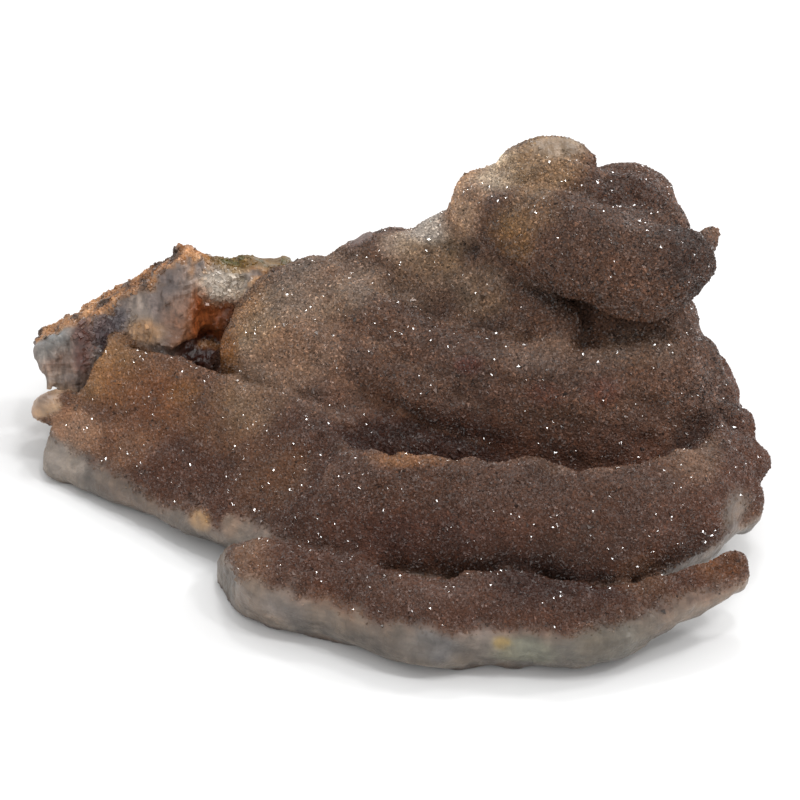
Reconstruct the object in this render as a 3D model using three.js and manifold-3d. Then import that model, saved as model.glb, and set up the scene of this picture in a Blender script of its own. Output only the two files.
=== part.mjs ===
// Drusy chalcedony specimen: one natural piece of stone, broken from a larger mass.
// Thin shelves of chalcedony are stacked like folded lips and step up from a low front
// ledge to a rounded knob at the upper right. A broad lobe slopes to the lower left and
// a rough broken peak stands behind it. The underside is a flat break that it rests on.
//
// Millimetres, +Z up, the front ledge faces -Y. The origin is on the resting face, under
// the middle of the outline.
//
// The form is one continuous skin around a field of rolls, lumps and broken chunks. A
// roll is a bar of changing thickness along a smooth curve, given as [x, y, z, radius].
// A lump is a stretched ball: centre, radii and turn in degrees. A chunk is the space
// behind several planes, each given as a point on it and the way it faces.

import * as THREE from 'three';
import { mergeVertices } from 'three/addons/utils/BufferGeometryUtils.js';
import Module from 'manifold-3d';

const wasm = await Module();
wasm.setup();

// Size of one facet of the skin, and the space that it is worked out in.
const FACET = 2.38;
const LOW = [-62, -55, -3.2];
const HIGH = [61, 37, 55];
const UNDER = 2.2;

// Middle of the outline, which becomes x = 0, y = 0.
const CENTRE = [-1.5, -9.2];

// Size of the slow waves in the skin.
const WAVE_HEIGHT = 0.35;
const WAVES = [
  { size: 0.9, rate: [0.23, 0.27, 0.31], start: [0.4, 1.9, 0.7] },
  { size: 0.55, rate: [0.47, 0.52, 0.58], start: [2.1, 0.3, 1.2] },
  { size: 0.3, rate: [0.93, 1.02, 1.13], start: [0.9, 2.6, 0.1] },
];

// The inside mass that everything grows on.
const CORE = [
  { centre: [6, 2, 3], radii: [42, 33, 13] },
  { centre: [16, 8, 6], radii: [36, 22, 17] },
  { centre: [26, -13, 9.5], radii: [14, 9, 7] },
  { centre: [20, 10, 24], radii: [10, 9, 9] },
  { centre: [10, -31, 1.5], radii: [28, 13, 8] },
];

// First ledge, along the front, and the trough behind its wavy lip.
const FIRST_LEDGE = [
  [-27, -31, 3.5, 4.4], [-22.5, -31.5, 4, 5.4], [-17.5, -34.5, 4.8, 6.2],
  [-13, -36, 5, 6.5], [-8, -37, 5, 6.7], [0, -42, 5.3, 6.5], [6, -44, 5.4, 6.5],
  [11.5, -43, 5.4, 6.9], [18, -43, 5.4, 6.9], [24.5, -44.5, 5.4, 6.4], [31, -44, 6.2, 5.4],
  [37.5, -42, 7.8, 4.2], [43.5, -40, 9, 3.6], [48, -38, 10, 2.9],
];
const FIRST_TROUGH = [
  [-19.5, -30.5, 14, 1.2], [-17, -31, 14, 3], [-13, -30.5, 14, 4.3], [-8, -31, 14, 4.6],
  [-4, -32.5, 13.6, 4.8], [0, -34.5, 13, 5], [4.5, -36, 12.8, 5], [8, -35.5, 12.8, 5],
  [11, -34.5, 13.4, 5], [17.5, -34, 13.4, 5], [21, -35, 13.2, 5], [24, -37, 12.8, 5],
  [28, -38, 12.8, 5], [31.5, -38, 13.2, 4.8], [37.5, -37, 13.6, 4.4],
  [43.5, -35.5, 14, 3.8], [48.5, -34, 15, 3], [54, -30.5, 15, 3],
];
const FIRST_LEDGE_END = { point: [-26.5, -29, 0], faces: [-1, -0.3, 0.1] };

// Second ledge, its lip and the deep trough behind it.
const SECOND_LEDGE = [
  [-11, -24, 6, 6], [-7.5, -26, 8.5, 8], [-4, -26.5, 10.5, 9.5], [0.5, -26, 10.5, 10.6],
  [7.5, -26.5, 10.5, 11], [14.5, -27.5, 10, 11.4], [22, -28, 10, 11.4], [29, -29, 10.5, 11],
  [36, -26, 11, 10.5], [42, -20.5, 11, 9.8], [45, -14.5, 11, 9], [44.5, -6.5, 11.5, 8.4],
  [44, 3.5, 12, 8.4],
];
const SECOND_TROUGH = [
  [-18.5, -8, 25, 1], [-16, -10, 24.6, 1.8], [-12, -13.5, 23.2, 2.8], [-8, -15.8, 22, 3.6],
  [-4.5, -17, 21.2, 4.4], [0, -19.8, 20, 5], [4.4, -19, 19.8, 5.2], [9, -20.6, 19.6, 5.4],
  [11.7, -21, 19.5, 5.4], [17.6, -19.6, 19.5, 5.5], [21.2, -20.1, 19.5, 5.5],
  [24.8, -21.8, 19.5, 5.5], [29.1, -22.3, 19.5, 5.5], [32.8, -21.3, 19.6, 5.4],
  [36.7, -19, 20, 5.2], [41.3, -16.6, 20.8, 4.8], [45.3, -14.2, 22.5, 3.8],
  [47.5, -12, 25, 2.6],
];

// Left lobe: a broad sloping sheet with a broken front and left edge.
const LEFT_LOBE = [
  { point: [-46, 11, 18], faces: [-0.54, -0.65, 1] },
  { point: [-46, 11, 18], faces: [0.59, 1, 0.5] },
  { point: [-16.5, -8, 21.5], faces: [0.75, 1, 0.57] },
  { point: [-45.4, 10.4, 17.4], faces: [-0.75, 1, -0.1] },
  { point: [-55.5, 0.5, 6], faces: [-0.83, -1, 0.55] },
  { point: [-56.6, 2, 3], faces: [-1, -0.1, 0.05] },
  { point: [-3, -30, 10], faces: [1, -0.2, 0] },
  { point: [-40, -14, 2.8], faces: [-0.5, -0.8, -1.1] },
];

// Third ledge: a low crest and a high crest with the steep faces below them, and the mound
// that they wrap round.
const LOW_CREST = [
  [-17, 1, 25, 3.4], [-15, -0.6, 24.9, 3.6], [-10.6, -2.4, 23.9, 3.6],
  [-5.6, -4.4, 22.9, 3.6], [-1.5, -6.4, 21.9, 3.6], [2, -8.4, 21.1, 3.6],
  [7.3, -10.4, 19.9, 3.6], [12.2, -11.3, 18.4, 3.4], [17, -12, 16.5, 3],
];
const CREST_FOOT = [
  [-20, 2, 18, 4], [-16.5, -1.5, 18.5, 4.6], [-11, -6, 17.3, 5], [-5.6, -9, 15, 5.2],
  [-0.7, -11.8, 13.6, 5.4], [2, -13, 13, 5.4], [7.4, -14.6, 11.8, 5.4],
  [14.8, -14.4, 11.6, 5.3], [22, -13.5, 12.2, 5.6], [29, -14, 12.5, 5.6],
  [35, -12.5, 13.5, 5.6], [40, -9, 15, 5.2],
];
const HIGH_CREST = [
  [-14, 4, 21, 7.5], [-9.5, 4.6, 23.6, 6.4], [-5.7, 4, 25, 6], [0.9, 0, 24.2, 5],
  [6.2, -3.7, 23.4, 5.2], [15, -8, 22.8, 6], [22.3, -10.2, 22.4, 6.2], [26.4, -12, 22, 6.2],
  [31, -9.8, 22.4, 6.2], [34.6, -8, 22.8, 6.2], [40, -7, 22.8, 6.3],
  [43.4, -4.2, 22.2, 5.5],
];
const CREST_FACE = [
  [14, -10.4, 17.6, 5], [20, -11.6, 17.6, 5.8], [26, -13, 17.4, 6], [30, -12.4, 17.6, 6],
  [35, -10.8, 18, 6], [40, -8, 18.6, 6], [43.4, -4.5, 19, 5.2],
];
const MOUND = [
  { centre: [-12, 7, 13], radii: [17, 14, 17.6] },
  { centre: [-2.5, 13, 17], radii: [13, 10, 14.6] },
  { centre: [-14, 12.5, 23.5], radii: [6, 5.5, 7.2] },
];

// Scalloped growths down the right side.
const RIGHT_SCALLOPS = [
  { centre: [44.6, -1.6, 22.4], radii: [3.4, 3.6, 3.8] },
  { centre: [47.6, -5.8, 18.8], radii: [3.2, 3.4, 3.8] },
  { centre: [50.4, -10.6, 15.6], radii: [3.4, 3.6, 4] },
  { centre: [52, -15.2, 12.4], radii: [3.4, 3.6, 4.6] },
  { centre: [50.8, -20.6, 9], radii: [3.4, 3.4, 5] },
];

// Fourth fold, under the knob: its ridge, face and foot, a small fold behind it, and the
// neck that carries the knob.
const FOURTH_FOLD = [
  [-3, 16, 29.4, 3], [0.3, 14.8, 31.2, 3.2], [5.6, 13.4, 31.6, 3.4], [11.1, 11, 31.4, 3.6],
  [15.6, 7.4, 31, 4], [20.5, 1.6, 30, 4.2], [23.7, -1.6, 28.2, 4],
];
const FOLD_FACE = [
  [-2, 13.6, 25.4, 4.4], [5, 11.6, 26, 4.8], [11, 9, 26, 4.8], [16, 5.4, 26, 4.8],
  [21, 1.2, 25.4, 4.6],
];
const FOLD_FOOT = [
  [-4, 12.5, 22, 4.4], [3.1, 10.4, 22.6, 4.6], [8, 7.4, 22.4, 4.8], [12, 4.6, 22.4, 4.8],
  [16, 2.2, 22.2, 4.8], [21.1, -1.4, 21.8, 4.8], [27, -3.8, 21.6, 4.8], [33, -2.4, 21.4, 5],
  [38, -0.4, 21.4, 5],
];
const FOLD_BACK = [
  [4.5, 16.8, 33, 2.4], [7, 16.4, 34, 2.8], [9.5, 15, 34.6, 3], [12, 14, 35.4, 3.4],
];
const NECK = [
  { centre: [35, 5, 23], radii: [11, 11, 11] },
  { centre: [22, 9.5, 31.5], radii: [11, 7, 7] },
];

// The knob: three stacked folds around a solid middle.
const KNOB_CORE = [
  { centre: [30, 12.5, 37], radii: [12.3, 9, 8.2], turn: -8 },
  { centre: [35, 17.6, 37.6], radii: [7.6, 7.2, 7.1] },
  { centre: [31, 5, 40], radii: [10, 8, 5.4] },
  { centre: [21, 11.5, 42.2], radii: [7.8, 6, 4.9] },
];
const KNOB_LOW = [
  [12.7, 12.2, 41.2, 4], [16.4, 8.6, 41.2, 4.7], [19.6, 6.2, 40.8, 5.2], [25.4, 2, 39.6, 6],
  [30, -0.2, 39.2, 6.4], [34.3, -2.1, 38.5, 6.9], [38.3, -2.5, 38.3, 6.2],
  [41.8, -1.6, 38.4, 4.6],
];
const KNOB_MIDDLE = [
  [11.6, 13.6, 41.2, 3.5], [16.2, 11, 41.4, 4.3], [22.1, 6.4, 42, 5.3], [26, 2.6, 42, 5.5],
  [31.3, -0.4, 41.2, 5.6], [37.5, -2, 40.4, 5.2], [42.6, 0.2, 39.6, 4.2],
];
const KNOB_TOP = [
  [15.4, 12.4, 42.2, 4], [20, 13.5, 44, 4.4], [24.5, 12.5, 44.6, 4.4],
  [29.5, 10.5, 42.4, 4.5], [34.5, 12.5, 41.1, 4.6], [38, 10, 40.6, 4.5], [40, 7, 39.6, 4.3],
];
const KNOB_LEFT = [[11.8, 16, 38.6, 3.6], [12.2, 16.5, 40.4, 3.9], [15.5, 16, 41.6, 4]];
const PALE_TIP = [
  [17.7, 16.1, 46.3, 2.4], [20, 16.5, 47.6, 2.5], [23.2, 16.9, 48, 2.6],
  [26.2, 16.4, 48, 2.4], [27.6, 15.6, 47.2, 2],
];
const HORN = [[44, 4.5, 37.8, 2.6], [46, 6, 38.8, 1.9], [47, 7, 39.6, 1.5]];

// Broken back: a smooth lump, the back of the mass and the back of the knob.
const BACK_LUMP = [
  [-9, 16, 27.5, 3], [-5.5, 15.8, 28.8, 4.2], [-2, 16, 29.9, 4.6], [0.6, 15.8, 30, 4.2],
];
const BACK = [
  { point: [10, 13, 31], faces: [-0.1, 0.75, 1] },
  { point: [10, 28, 12], faces: [0.12, 1, 0.12] },
  { point: [38, 22, 12], faces: [0.75, 0.6, 0.15] },
  { point: [-24, 20, 10], faces: [-1, 0.3, 0.1] },
  { point: [10, 12, 25], faces: [0, -1, 0.3] },
];
const KNOB_BACK = [
  { point: [26, 19, 43.5], faces: [0.12, 0.6, 1] },
  { point: [12, 18, 31], faces: [-1, 0.25, 0.45] },
  { point: [37, 18, 32], faces: [1, 0.35, 0.2] },
  { point: [24, 26, 30], faces: [-0.25, 1, 0.3] },
  { point: [28, 12, 30], faces: [0, -1, 0] },
  { point: [28, 16, 18], faces: [0, 0, -1] },
];
const BACK_BREAK = { point: [0, 31.5, 6], faces: [0.05, 1, 0.1] };

// Broken peak behind the left lobe, its head, the scoop beside it and the hole at its foot.
const PEAK = [
  { point: [-43.2, 13.2, 23], faces: [0.04, -1, 0.32] },
  { point: [-42.1, 18.5, 23.3], faces: [-0.52, 0.1, 1] },
  { point: [-27, 18, 27.8], faces: [0.06, 0.2, 1] },
  { point: [-58, 12.5, 15.5], faces: [-1, 0.1, -0.5] },
  { point: [-17, 12, 20], faces: [1, 0, 0] },
  { point: [-40, 19.5, 20], faces: [-0.2, 1, 0.25] },
];
const PEAK_HEAD = [
  { point: [-37, 10.6, 23], faces: [-0.4, -1, 0.45] },
  { point: [-33.5, 10.8, 25], faces: [0.7, -1, 0.5] },
  { point: [-33, 17, 31.2], faces: [-0.8, 0.15, 1] },
  { point: [-33, 17, 31.2], faces: [0.72, 0.15, 1] },
  { point: [-33, 20.5, 20], faces: [0.1, 1, 0.3] },
  { point: [-33, 17, 14], faces: [0, 0, -1] },
];
const SCOOP = { centre: [-26.8, 7, 20.5], radii: [6, 7, 7], turn: 20 };
const HOLE = { centre: [-31, 8.5, 16.5], radii: [4.6, 6, 3], turn: -30 };
const WEDGE = [
  [-41.6, 12, 18, 1.5], [-39.4, 12, 19.8, 1.9], [-36.5, 10, 18.8, 1.9],
  [-34.2, 7.6, 17.8, 1.3],
];
const CHIP = { centre: [-53.6, 5, 8.9], radii: [4, 3, 2.7], turn: 20 };

// How softly one form runs into the next, in millimetres of fillet.
const JOIN = {
  wide: 5, broad: 4, soft: 3, full: 2.6, plain: 2, small: 1.5, tight: 1.2, crisp: 1, keen: 0.8,
  broken: 0.5,
};

// Joining and carving of distance values, with a fillet of size k.
function join(a, b, k) {
  const h = Math.max(k - Math.abs(a - b), 0) / k;
  return Math.min(a, b) - h * h * k / 4;
}

function both(a, b, k) {
  return -join(-a, -b, k);
}

function carve(a, b, k) {
  return both(a, -b, k);
}

// A roll becomes short straight bars along its curve, four to a span.
function makeRoll(points, bars = 4) {
  const first = points[0];
  const last = points[points.length - 1];
  const before = first.map((v, i) => 2 * v - points[1][i]);
  const after = last.map((v, i) => 2 * v - points[points.length - 2][i]);
  const line = [before, ...points, after];
  const stops = [];
  for (let i = 1; i < line.length - 2; i++) {
    for (let j = 0; j < bars; j++) {
      stops.push(alongCurve(line.slice(i - 1, i + 3), j / bars));
    }
  }
  stops.push(last);
  return stops;
}

function alongCurve([p0, p1, p2, p3], t) {
  const a = 2 * t ** 3 - 3 * t ** 2 + 1;
  const b = t ** 3 - 2 * t ** 2 + t;
  const c = -2 * t ** 3 + 3 * t ** 2;
  const d = t ** 3 - t ** 2;
  return p1.map((v, i) => a * v + b * 0.5 * (p2[i] - p0[i]) + c * p2[i] + d * 0.5 * (p3[i] - v));
}

function fromRoll(roll, x, y, z) {
  let nearest = Infinity;
  for (let i = 0; i < roll.length - 1; i++) {
    const [ax, ay, az, ar] = roll[i];
    const [bx, by, bz, br] = roll[i + 1];
    const ux = bx - ax;
    const uy = by - ay;
    const uz = bz - az;
    const px = x - ax;
    const py = y - ay;
    const pz = z - az;
    const share = (px * ux + py * uy + pz * uz) / (ux * ux + uy * uy + uz * uz);
    const t = Math.min(Math.max(share, 0), 1);
    const away = Math.sqrt((px - t * ux) ** 2 + (py - t * uy) ** 2 + (pz - t * uz) ** 2);
    nearest = Math.min(nearest, away - (ar + t * (br - ar)));
  }
  return nearest;
}

function fromLump({ centre, radii, turn = 0 }, x, y, z) {
  const angle = THREE.MathUtils.degToRad(turn);
  const c = Math.cos(angle);
  const s = Math.sin(angle);
  const dx = x - centre[0];
  const dy = y - centre[1];
  const local = [c * dx + s * dy, -s * dx + c * dy, z - centre[2]];
  const k0 = Math.hypot(...local.map((v, i) => v / radii[i]));
  const k1 = Math.hypot(...local.map((v, i) => v / radii[i] ** 2));
  return k1 > 1e-9 ? k0 * (k0 - 1) / k1 : -Math.min(...radii);
}

function fromPlane({ point, faces }, x, y, z) {
  const length = Math.hypot(...faces);
  const ahead = (x - point[0]) * faces[0] + (y - point[1]) * faces[1] + (z - point[2]) * faces[2];
  return ahead / length;
}

function fromChunk(planes, x, y, z, k) {
  return planes.map((plane) => fromPlane(plane, x, y, z)).reduce((a, b) => both(a, b, k));
}

function waves(x, y, z) {
  let sum = 0;
  for (const { size, rate: [wx, wy, wz], start: [fx, fy, fz] } of WAVES) {
    const a = Math.sin(wx * x + fx + 1.7 * Math.sin(wy * y * 0.6 + fz));
    const b = Math.sin(wy * y + fy + 1.3 * Math.sin(wz * z * 0.7 + fx));
    const c = Math.cos(wz * z + fz + 1.1 * Math.sin(wx * x * 0.5 + fy));
    sum += size * a * b * c;
  }
  return sum;
}

const rolls = {
  firstLedge: makeRoll(FIRST_LEDGE),
  firstTrough: makeRoll(FIRST_TROUGH),
  secondLedge: makeRoll(SECOND_LEDGE),
  secondTrough: makeRoll(SECOND_TROUGH),
  lowCrest: makeRoll(LOW_CREST),
  crestFoot: makeRoll(CREST_FOOT),
  highCrest: makeRoll(HIGH_CREST),
  crestFace: makeRoll(CREST_FACE),
  fourthFold: makeRoll(FOURTH_FOLD),
  foldFace: makeRoll(FOLD_FACE),
  foldFoot: makeRoll(FOLD_FOOT),
  foldBack: makeRoll(FOLD_BACK),
  knobLow: makeRoll(KNOB_LOW),
  knobMiddle: makeRoll(KNOB_MIDDLE),
  knobTop: makeRoll(KNOB_TOP),
  knobLeft: makeRoll(KNOB_LEFT),
  paleTip: makeRoll(PALE_TIP),
  horn: makeRoll(HORN),
  backLump: makeRoll(BACK_LUMP),
  wedge: makeRoll(WEDGE),
};

// Front ledges and left lobe, from the bottom up.
function ledges(x, y, z) {
  let d = CORE.map((lump) => fromLump(lump, x, y, z)).reduce((a, b) => join(a, b, JOIN.wide));
  const first = both(fromRoll(rolls.firstLedge, x, y, z), fromPlane(FIRST_LEDGE_END, x, y, z), JOIN.crisp);
  d = join(d, first, JOIN.plain);
  d = carve(d, fromRoll(rolls.firstTrough, x, y, z), JOIN.keen);
  const mound = MOUND.map((lump) => fromLump(lump, x, y, z)).reduce((a, b) => join(a, b, JOIN.broad));
  d = join(d, mound, JOIN.broad);
  const lobe = fromChunk(LEFT_LOBE, x, y, z, JOIN.small);
  d = join(d, join(lobe, fromRoll(rolls.secondLedge, x, y, z), JOIN.wide), JOIN.crisp);
  d = carve(d, fromRoll(rolls.secondTrough, x, y, z), JOIN.keen);
  const low = join(fromRoll(rolls.lowCrest, x, y, z), fromRoll(rolls.crestFoot, x, y, z), JOIN.plain);
  const high = join(fromRoll(rolls.highCrest, x, y, z), fromRoll(rolls.crestFace, x, y, z), JOIN.plain);
  d = join(join(d, low, JOIN.plain), high, JOIN.plain);
  for (const scallop of RIGHT_SCALLOPS) {
    d = join(d, fromLump(scallop, x, y, z), JOIN.small);
  }
  return d;
}

// The knob with its horn and pale tip.
function knob(x, y, z) {
  let d = KNOB_CORE.map((lump) => fromLump(lump, x, y, z)).reduce((a, b) => join(a, b, JOIN.soft));
  d = join(d, fromRoll(rolls.knobLow, x, y, z), JOIN.plain);
  d = join(d, fromRoll(rolls.knobMiddle, x, y, z), JOIN.tight);
  d = join(d, fromRoll(rolls.knobTop, x, y, z), JOIN.tight);
  return join(d, fromRoll(rolls.knobLeft, x, y, z), JOIN.tight);
}

function upperFolds(d, x, y, z) {
  let fold = join(fromRoll(rolls.fourthFold, x, y, z), fromRoll(rolls.foldFace, x, y, z), JOIN.soft);
  fold = join(fold, fromRoll(rolls.foldFoot, x, y, z), JOIN.plain);
  fold = join(fold, fromRoll(rolls.foldBack, x, y, z), JOIN.crisp);
  d = join(d, fold, JOIN.broad);
  d = NECK.map((lump) => fromLump(lump, x, y, z)).reduce((a, b) => join(a, b, JOIN.plain), d);
  d = join(d, knob(x, y, z), JOIN.full);
  d = join(d, fromRoll(rolls.paleTip, x, y, z), JOIN.keen);
  return join(d, fromRoll(rolls.horn, x, y, z), JOIN.keen);
}

// The broken back and the broken peak behind the lobe.
function brokenParts(d, x, y, z) {
  d = join(d, fromRoll(rolls.backLump, x, y, z), JOIN.small);
  d = join(d, fromChunk(BACK, x, y, z, JOIN.tight), JOIN.small);
  d = join(d, fromChunk(KNOB_BACK, x, y, z, JOIN.tight), JOIN.small);
  const head = fromChunk(PEAK_HEAD, x, y, z, JOIN.broken);
  const peak = join(fromChunk(PEAK, x, y, z, JOIN.broken), head, JOIN.crisp);
  d = join(d, carve(peak, fromLump(SCOOP, x, y, z), JOIN.small), JOIN.crisp);
  d = join(d, fromLump(CHIP, x, y, z), JOIN.keen);
  d = join(d, fromRoll(rolls.wedge, x, y, z), JOIN.crisp);
  d = carve(d, fromLump(HOLE, x, y, z), JOIN.crisp);
  return both(d, fromPlane(BACK_BREAK, x, y, z), JOIN.tight);
}

// Distance outside the stone, below zero inside it.
function stone(x, y, z) {
  let d = ledges(x, y, z);
  d = upperFolds(d, x, y, z);
  d = brokenParts(d, x, y, z);
  return d - WAVE_HEIGHT * waves(x, y, z);
}

// Skin of a field: one vertex for each patch of skin in each cell of a grid.
const bit = (corner, axis) => (corner >> axis) & 1;

function edgeNumber(axis, corner) {
  return axis * 4 + bit(corner, (axis + 1) % 3) + 2 * bit(corner, (axis + 2) % 3);
}

function faceLoop(axis, side) {
  const u = (axis + 1) % 3;
  const v = (axis + 2) % 3;
  return [[0, 0], [1, 0], [1, 1], [0, 1]].map(([a, b]) => (side << axis) | (a << u) | (b << v));
}

const FACE_LOOPS = [0, 1, 2].flatMap((axis) => [faceLoop(axis, 0), faceLoop(axis, 1)]);

function edgeBetween(a, b) {
  return edgeNumber(Math.log2(a ^ b), a);
}

// Groups the crossed edges of a cell into patches.
function patches(inside) {
  const group = new Array(12).fill(-1);
  for (let axis = 0; axis < 3; axis++) {
    for (let corner = 0; corner < 8; corner++) {
      const crossed = inside[corner] !== inside[corner | (1 << axis)];
      if (!bit(corner, axis) && crossed) group[edgeNumber(axis, corner)] = edgeNumber(axis, corner);
    }
  }
  const merge = (a, b) => {
    const [from, to] = [group[a], group[b]];
    for (let e = 0; e < 12; e++) {
      if (group[e] === from) group[e] = to;
    }
  };
  for (const loop of FACE_LOOPS) {
    const edges = loop.map((corner, i) => edgeBetween(corner, loop[(i + 1) % 4]));
    const crossed = edges.filter((e) => group[e] >= 0);
    if (crossed.length === 2) merge(crossed[0], crossed[1]);
    if (crossed.length === 4) {
      loop.forEach((corner, i) => {
        if (inside[corner]) merge(edges[(i + 3) % 4], edges[i]);
      });
    }
  }
  return group;
}

// Where the skin crosses one grid edge, and the way it faces there.
function crossing(field, from, to, valueFrom, valueTo) {
  let [a, b, fa, fb] = [from, to, valueFrom, valueTo];
  const between = () => a.map((v, i) => v + (b[i] - v) * fa / (fa - fb));
  for (let round = 0; round < 2; round++) {
    const middle = between();
    const here = field(...middle);
    if (here < 0 === fa < 0) [a, fa] = [middle, here];
    else [b, fb] = [middle, here];
  }
  const point = between();
  const reach = 0.15;
  const slope = point.map((v, i) => {
    const ahead = [...point];
    const behind = [...point];
    ahead[i] += reach;
    behind[i] -= reach;
    return field(...ahead) - field(...behind);
  });
  const steep = Math.max(Math.hypot(...slope), 1e-6);
  return { point, normal: slope.map((v) => v / steep) };
}

// The point that lies best on all the small planes of one patch, kept inside its cell.
// Along a sharp lip or break this lands on the edge itself.
function bestPoint(hits, cellLow, step) {
  const middle = [0, 1, 2].map((i) => hits.reduce((sum, h) => sum + h.point[i], 0) / hits.length);
  const pull = 0.12;
  const m = [pull, 0, 0, 0, pull, 0, 0, 0, pull];
  const right = [0, 0, 0];
  for (const { point, normal } of hits) {
    const off = normal.reduce((sum, n, i) => sum + n * (point[i] - middle[i]), 0);
    for (let i = 0; i < 3; i++) {
      right[i] += normal[i] * off;
      for (let j = 0; j < 3; j++) m[3 * i + j] += normal[i] * normal[j];
    }
  }
  const shift = new THREE.Vector3(...right).applyMatrix3(new THREE.Matrix3().set(...m).invert());
  return middle.map((v, i) => {
    const moved = v + shift.getComponent(i);
    return Math.min(Math.max(moved, cellLow[i] + 0.05 * step), cellLow[i] + 0.95 * step);
  });
}

function skin(field, low, high, step) {
  const count = low.map((v, i) => Math.ceil((high[i] - v) / step) + 1);
  const index = (c) => (c[0] * count[1] + c[1]) * count[2] + c[2];
  const place = (c) => c.map((v, i) => low[i] + v * step);
  const values = new Float64Array(count[0] * count[1] * count[2]);
  for (let i = 0; i < count[0]; i++) {
    for (let j = 0; j < count[1]; j++) {
      for (let k = 0; k < count[2]; k++) values[index([i, j, k])] = field(...place([i, j, k]));
    }
  }
  const known = new Map();
  const hitOn = (axis, start, end) => {
    const name = index(start) * 3 + axis;
    if (!known.has(name)) {
      const ends = [values[index(start)], values[index(end)]];
      known.set(name, crossing(field, place(start), place(end), ...ends));
    }
    return known.get(name);
  };
  const grid = { index, place, values, hitOn, step };
  const points = [];
  const vertexAt = new Map();
  for (let i = 0; i < count[0] - 1; i++) {
    for (let j = 0; j < count[1] - 1; j++) {
      for (let k = 0; k < count[2] - 1; k++) addCell([i, j, k], grid, points, vertexAt);
    }
  }
  return { points, faces: quads(count, index, values, vertexAt, points) };
}

function addCell(cell, { index, place, values, hitOn, step }, points, vertexAt) {
  const at = (corner) => cell.map((v, axis) => v + bit(corner, axis));
  const inside = [0, 1, 2, 3, 4, 5, 6, 7].map((corner) => values[index(at(corner))] < 0);
  if (inside.every((v) => v === inside[0])) return;
  const group = patches(inside);
  for (const name of new Set(group.filter((g) => g >= 0))) {
    const hits = [];
    for (let axis = 0; axis < 3; axis++) {
      for (let corner = 0; corner < 8; corner++) {
        const e = edgeNumber(axis, corner);
        if (bit(corner, axis) || group[e] !== name) continue;
        hits.push(hitOn(axis, at(corner), at(corner | (1 << axis))));
        vertexAt.set(index(cell) * 12 + e, points.length);
      }
    }
    points.push(bestPoint(hits, place(cell), step));
  }
}

// Every crossed grid edge gets a face across the four cells around it.
function quads(count, index, values, vertexAt, points) {
  const faces = [];
  for (let axis = 0; axis < 3; axis++) {
    const u = (axis + 1) % 3;
    const v = (axis + 2) % 3;
    const c = [0, 0, 0];
    for (c[0] = 0; c[0] < count[0] - 1; c[0]++) {
      for (c[1] = 0; c[1] < count[1] - 1; c[1]++) {
        for (c[2] = 0; c[2] < count[2] - 1; c[2]++) {
          if (c[u] === 0 || c[v] === 0) continue;
          const next = [...c];
          next[axis] += 1;
          const inside = values[index(c)] < 0;
          if (inside === values[index(next)] < 0) continue;
          const ring = [[0, 0], [1, 0], [1, 1], [0, 1]].map(([a, b]) => {
            const cell = [...c];
            cell[u] -= a;
            cell[v] -= b;
            return vertexAt.get(index(cell) * 12 + axis * 4 + a + 2 * b);
          });
          faces.push(...twoTriangles(inside ? ring : ring.reverse(), points));
        }
      }
    }
  }
  return faces;
}

function twoTriangles([a, b, c, d], points) {
  const apart = (p, q) => Math.hypot(...points[p].map((v, i) => v - points[q][i]));
  if (apart(a, c) < apart(b, d)) return [[a, b, c], [a, c, d]];
  return [[a, b, d], [b, c, d]];
}

// Cutting the skin off flat at the resting face.
function solidFrom(positions, faces) {
  return new wasm.Manifold(new wasm.Mesh({
    numProp: 3,
    vertProperties: new Float32Array(positions),
    triVerts: new Uint32Array(faces),
  }));
}

function blockAboveFloor() {
  const block = new THREE.BoxGeometry(200, 200, 100);
  block.translate(0, 0, 50);
  block.deleteAttribute('normal');
  block.deleteAttribute('uv');
  const merged = mergeVertices(block);
  return solidFrom(merged.attributes.position.array, merged.index.array);
}

function specimenGeometry() {
  const closed = (x, y, z) => Math.max(stone(x, y, z), -z - UNDER);
  const { points, faces } = skin(closed, LOW, HIGH, FACET);
  const whole = solidFrom(points.flat(), faces.flat());
  const { vertProperties, triVerts } = whole.intersect(blockAboveFloor()).getMesh();
  const geometry = new THREE.BufferGeometry();
  geometry.setAttribute('position', new THREE.Float32BufferAttribute(vertProperties, 3));
  geometry.setIndex(new THREE.Uint32BufferAttribute(triVerts, 1));
  geometry.translate(-CENTRE[0], -CENTRE[1], 0);
  geometry.computeVertexNormals();
  return geometry;
}

const specimen = new THREE.Group();
const material = new THREE.MeshStandardMaterial({ color: 0x6e5a50, roughness: 0.55, metalness: 0 });
const body = new THREE.Mesh(specimenGeometry(), material);
body.name = 'chalcedony_specimen';
specimen.add(body);

export default specimen;
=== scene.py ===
# Looks of the drusy chalcedony specimen: the stone's fine skin, its crust of tiny quartz
# crystals and their finishes, on a plain pale floor in soft light.
#
# The form's numbers are in millimetres, the same as in the solid model's source: +X to the
# right, -Y to the front, +Z up from the resting face. MIDDLE is the middle of the outline
# on those axes. Everything that goes to Blender is moved by it and scaled to metres.
import math

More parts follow.
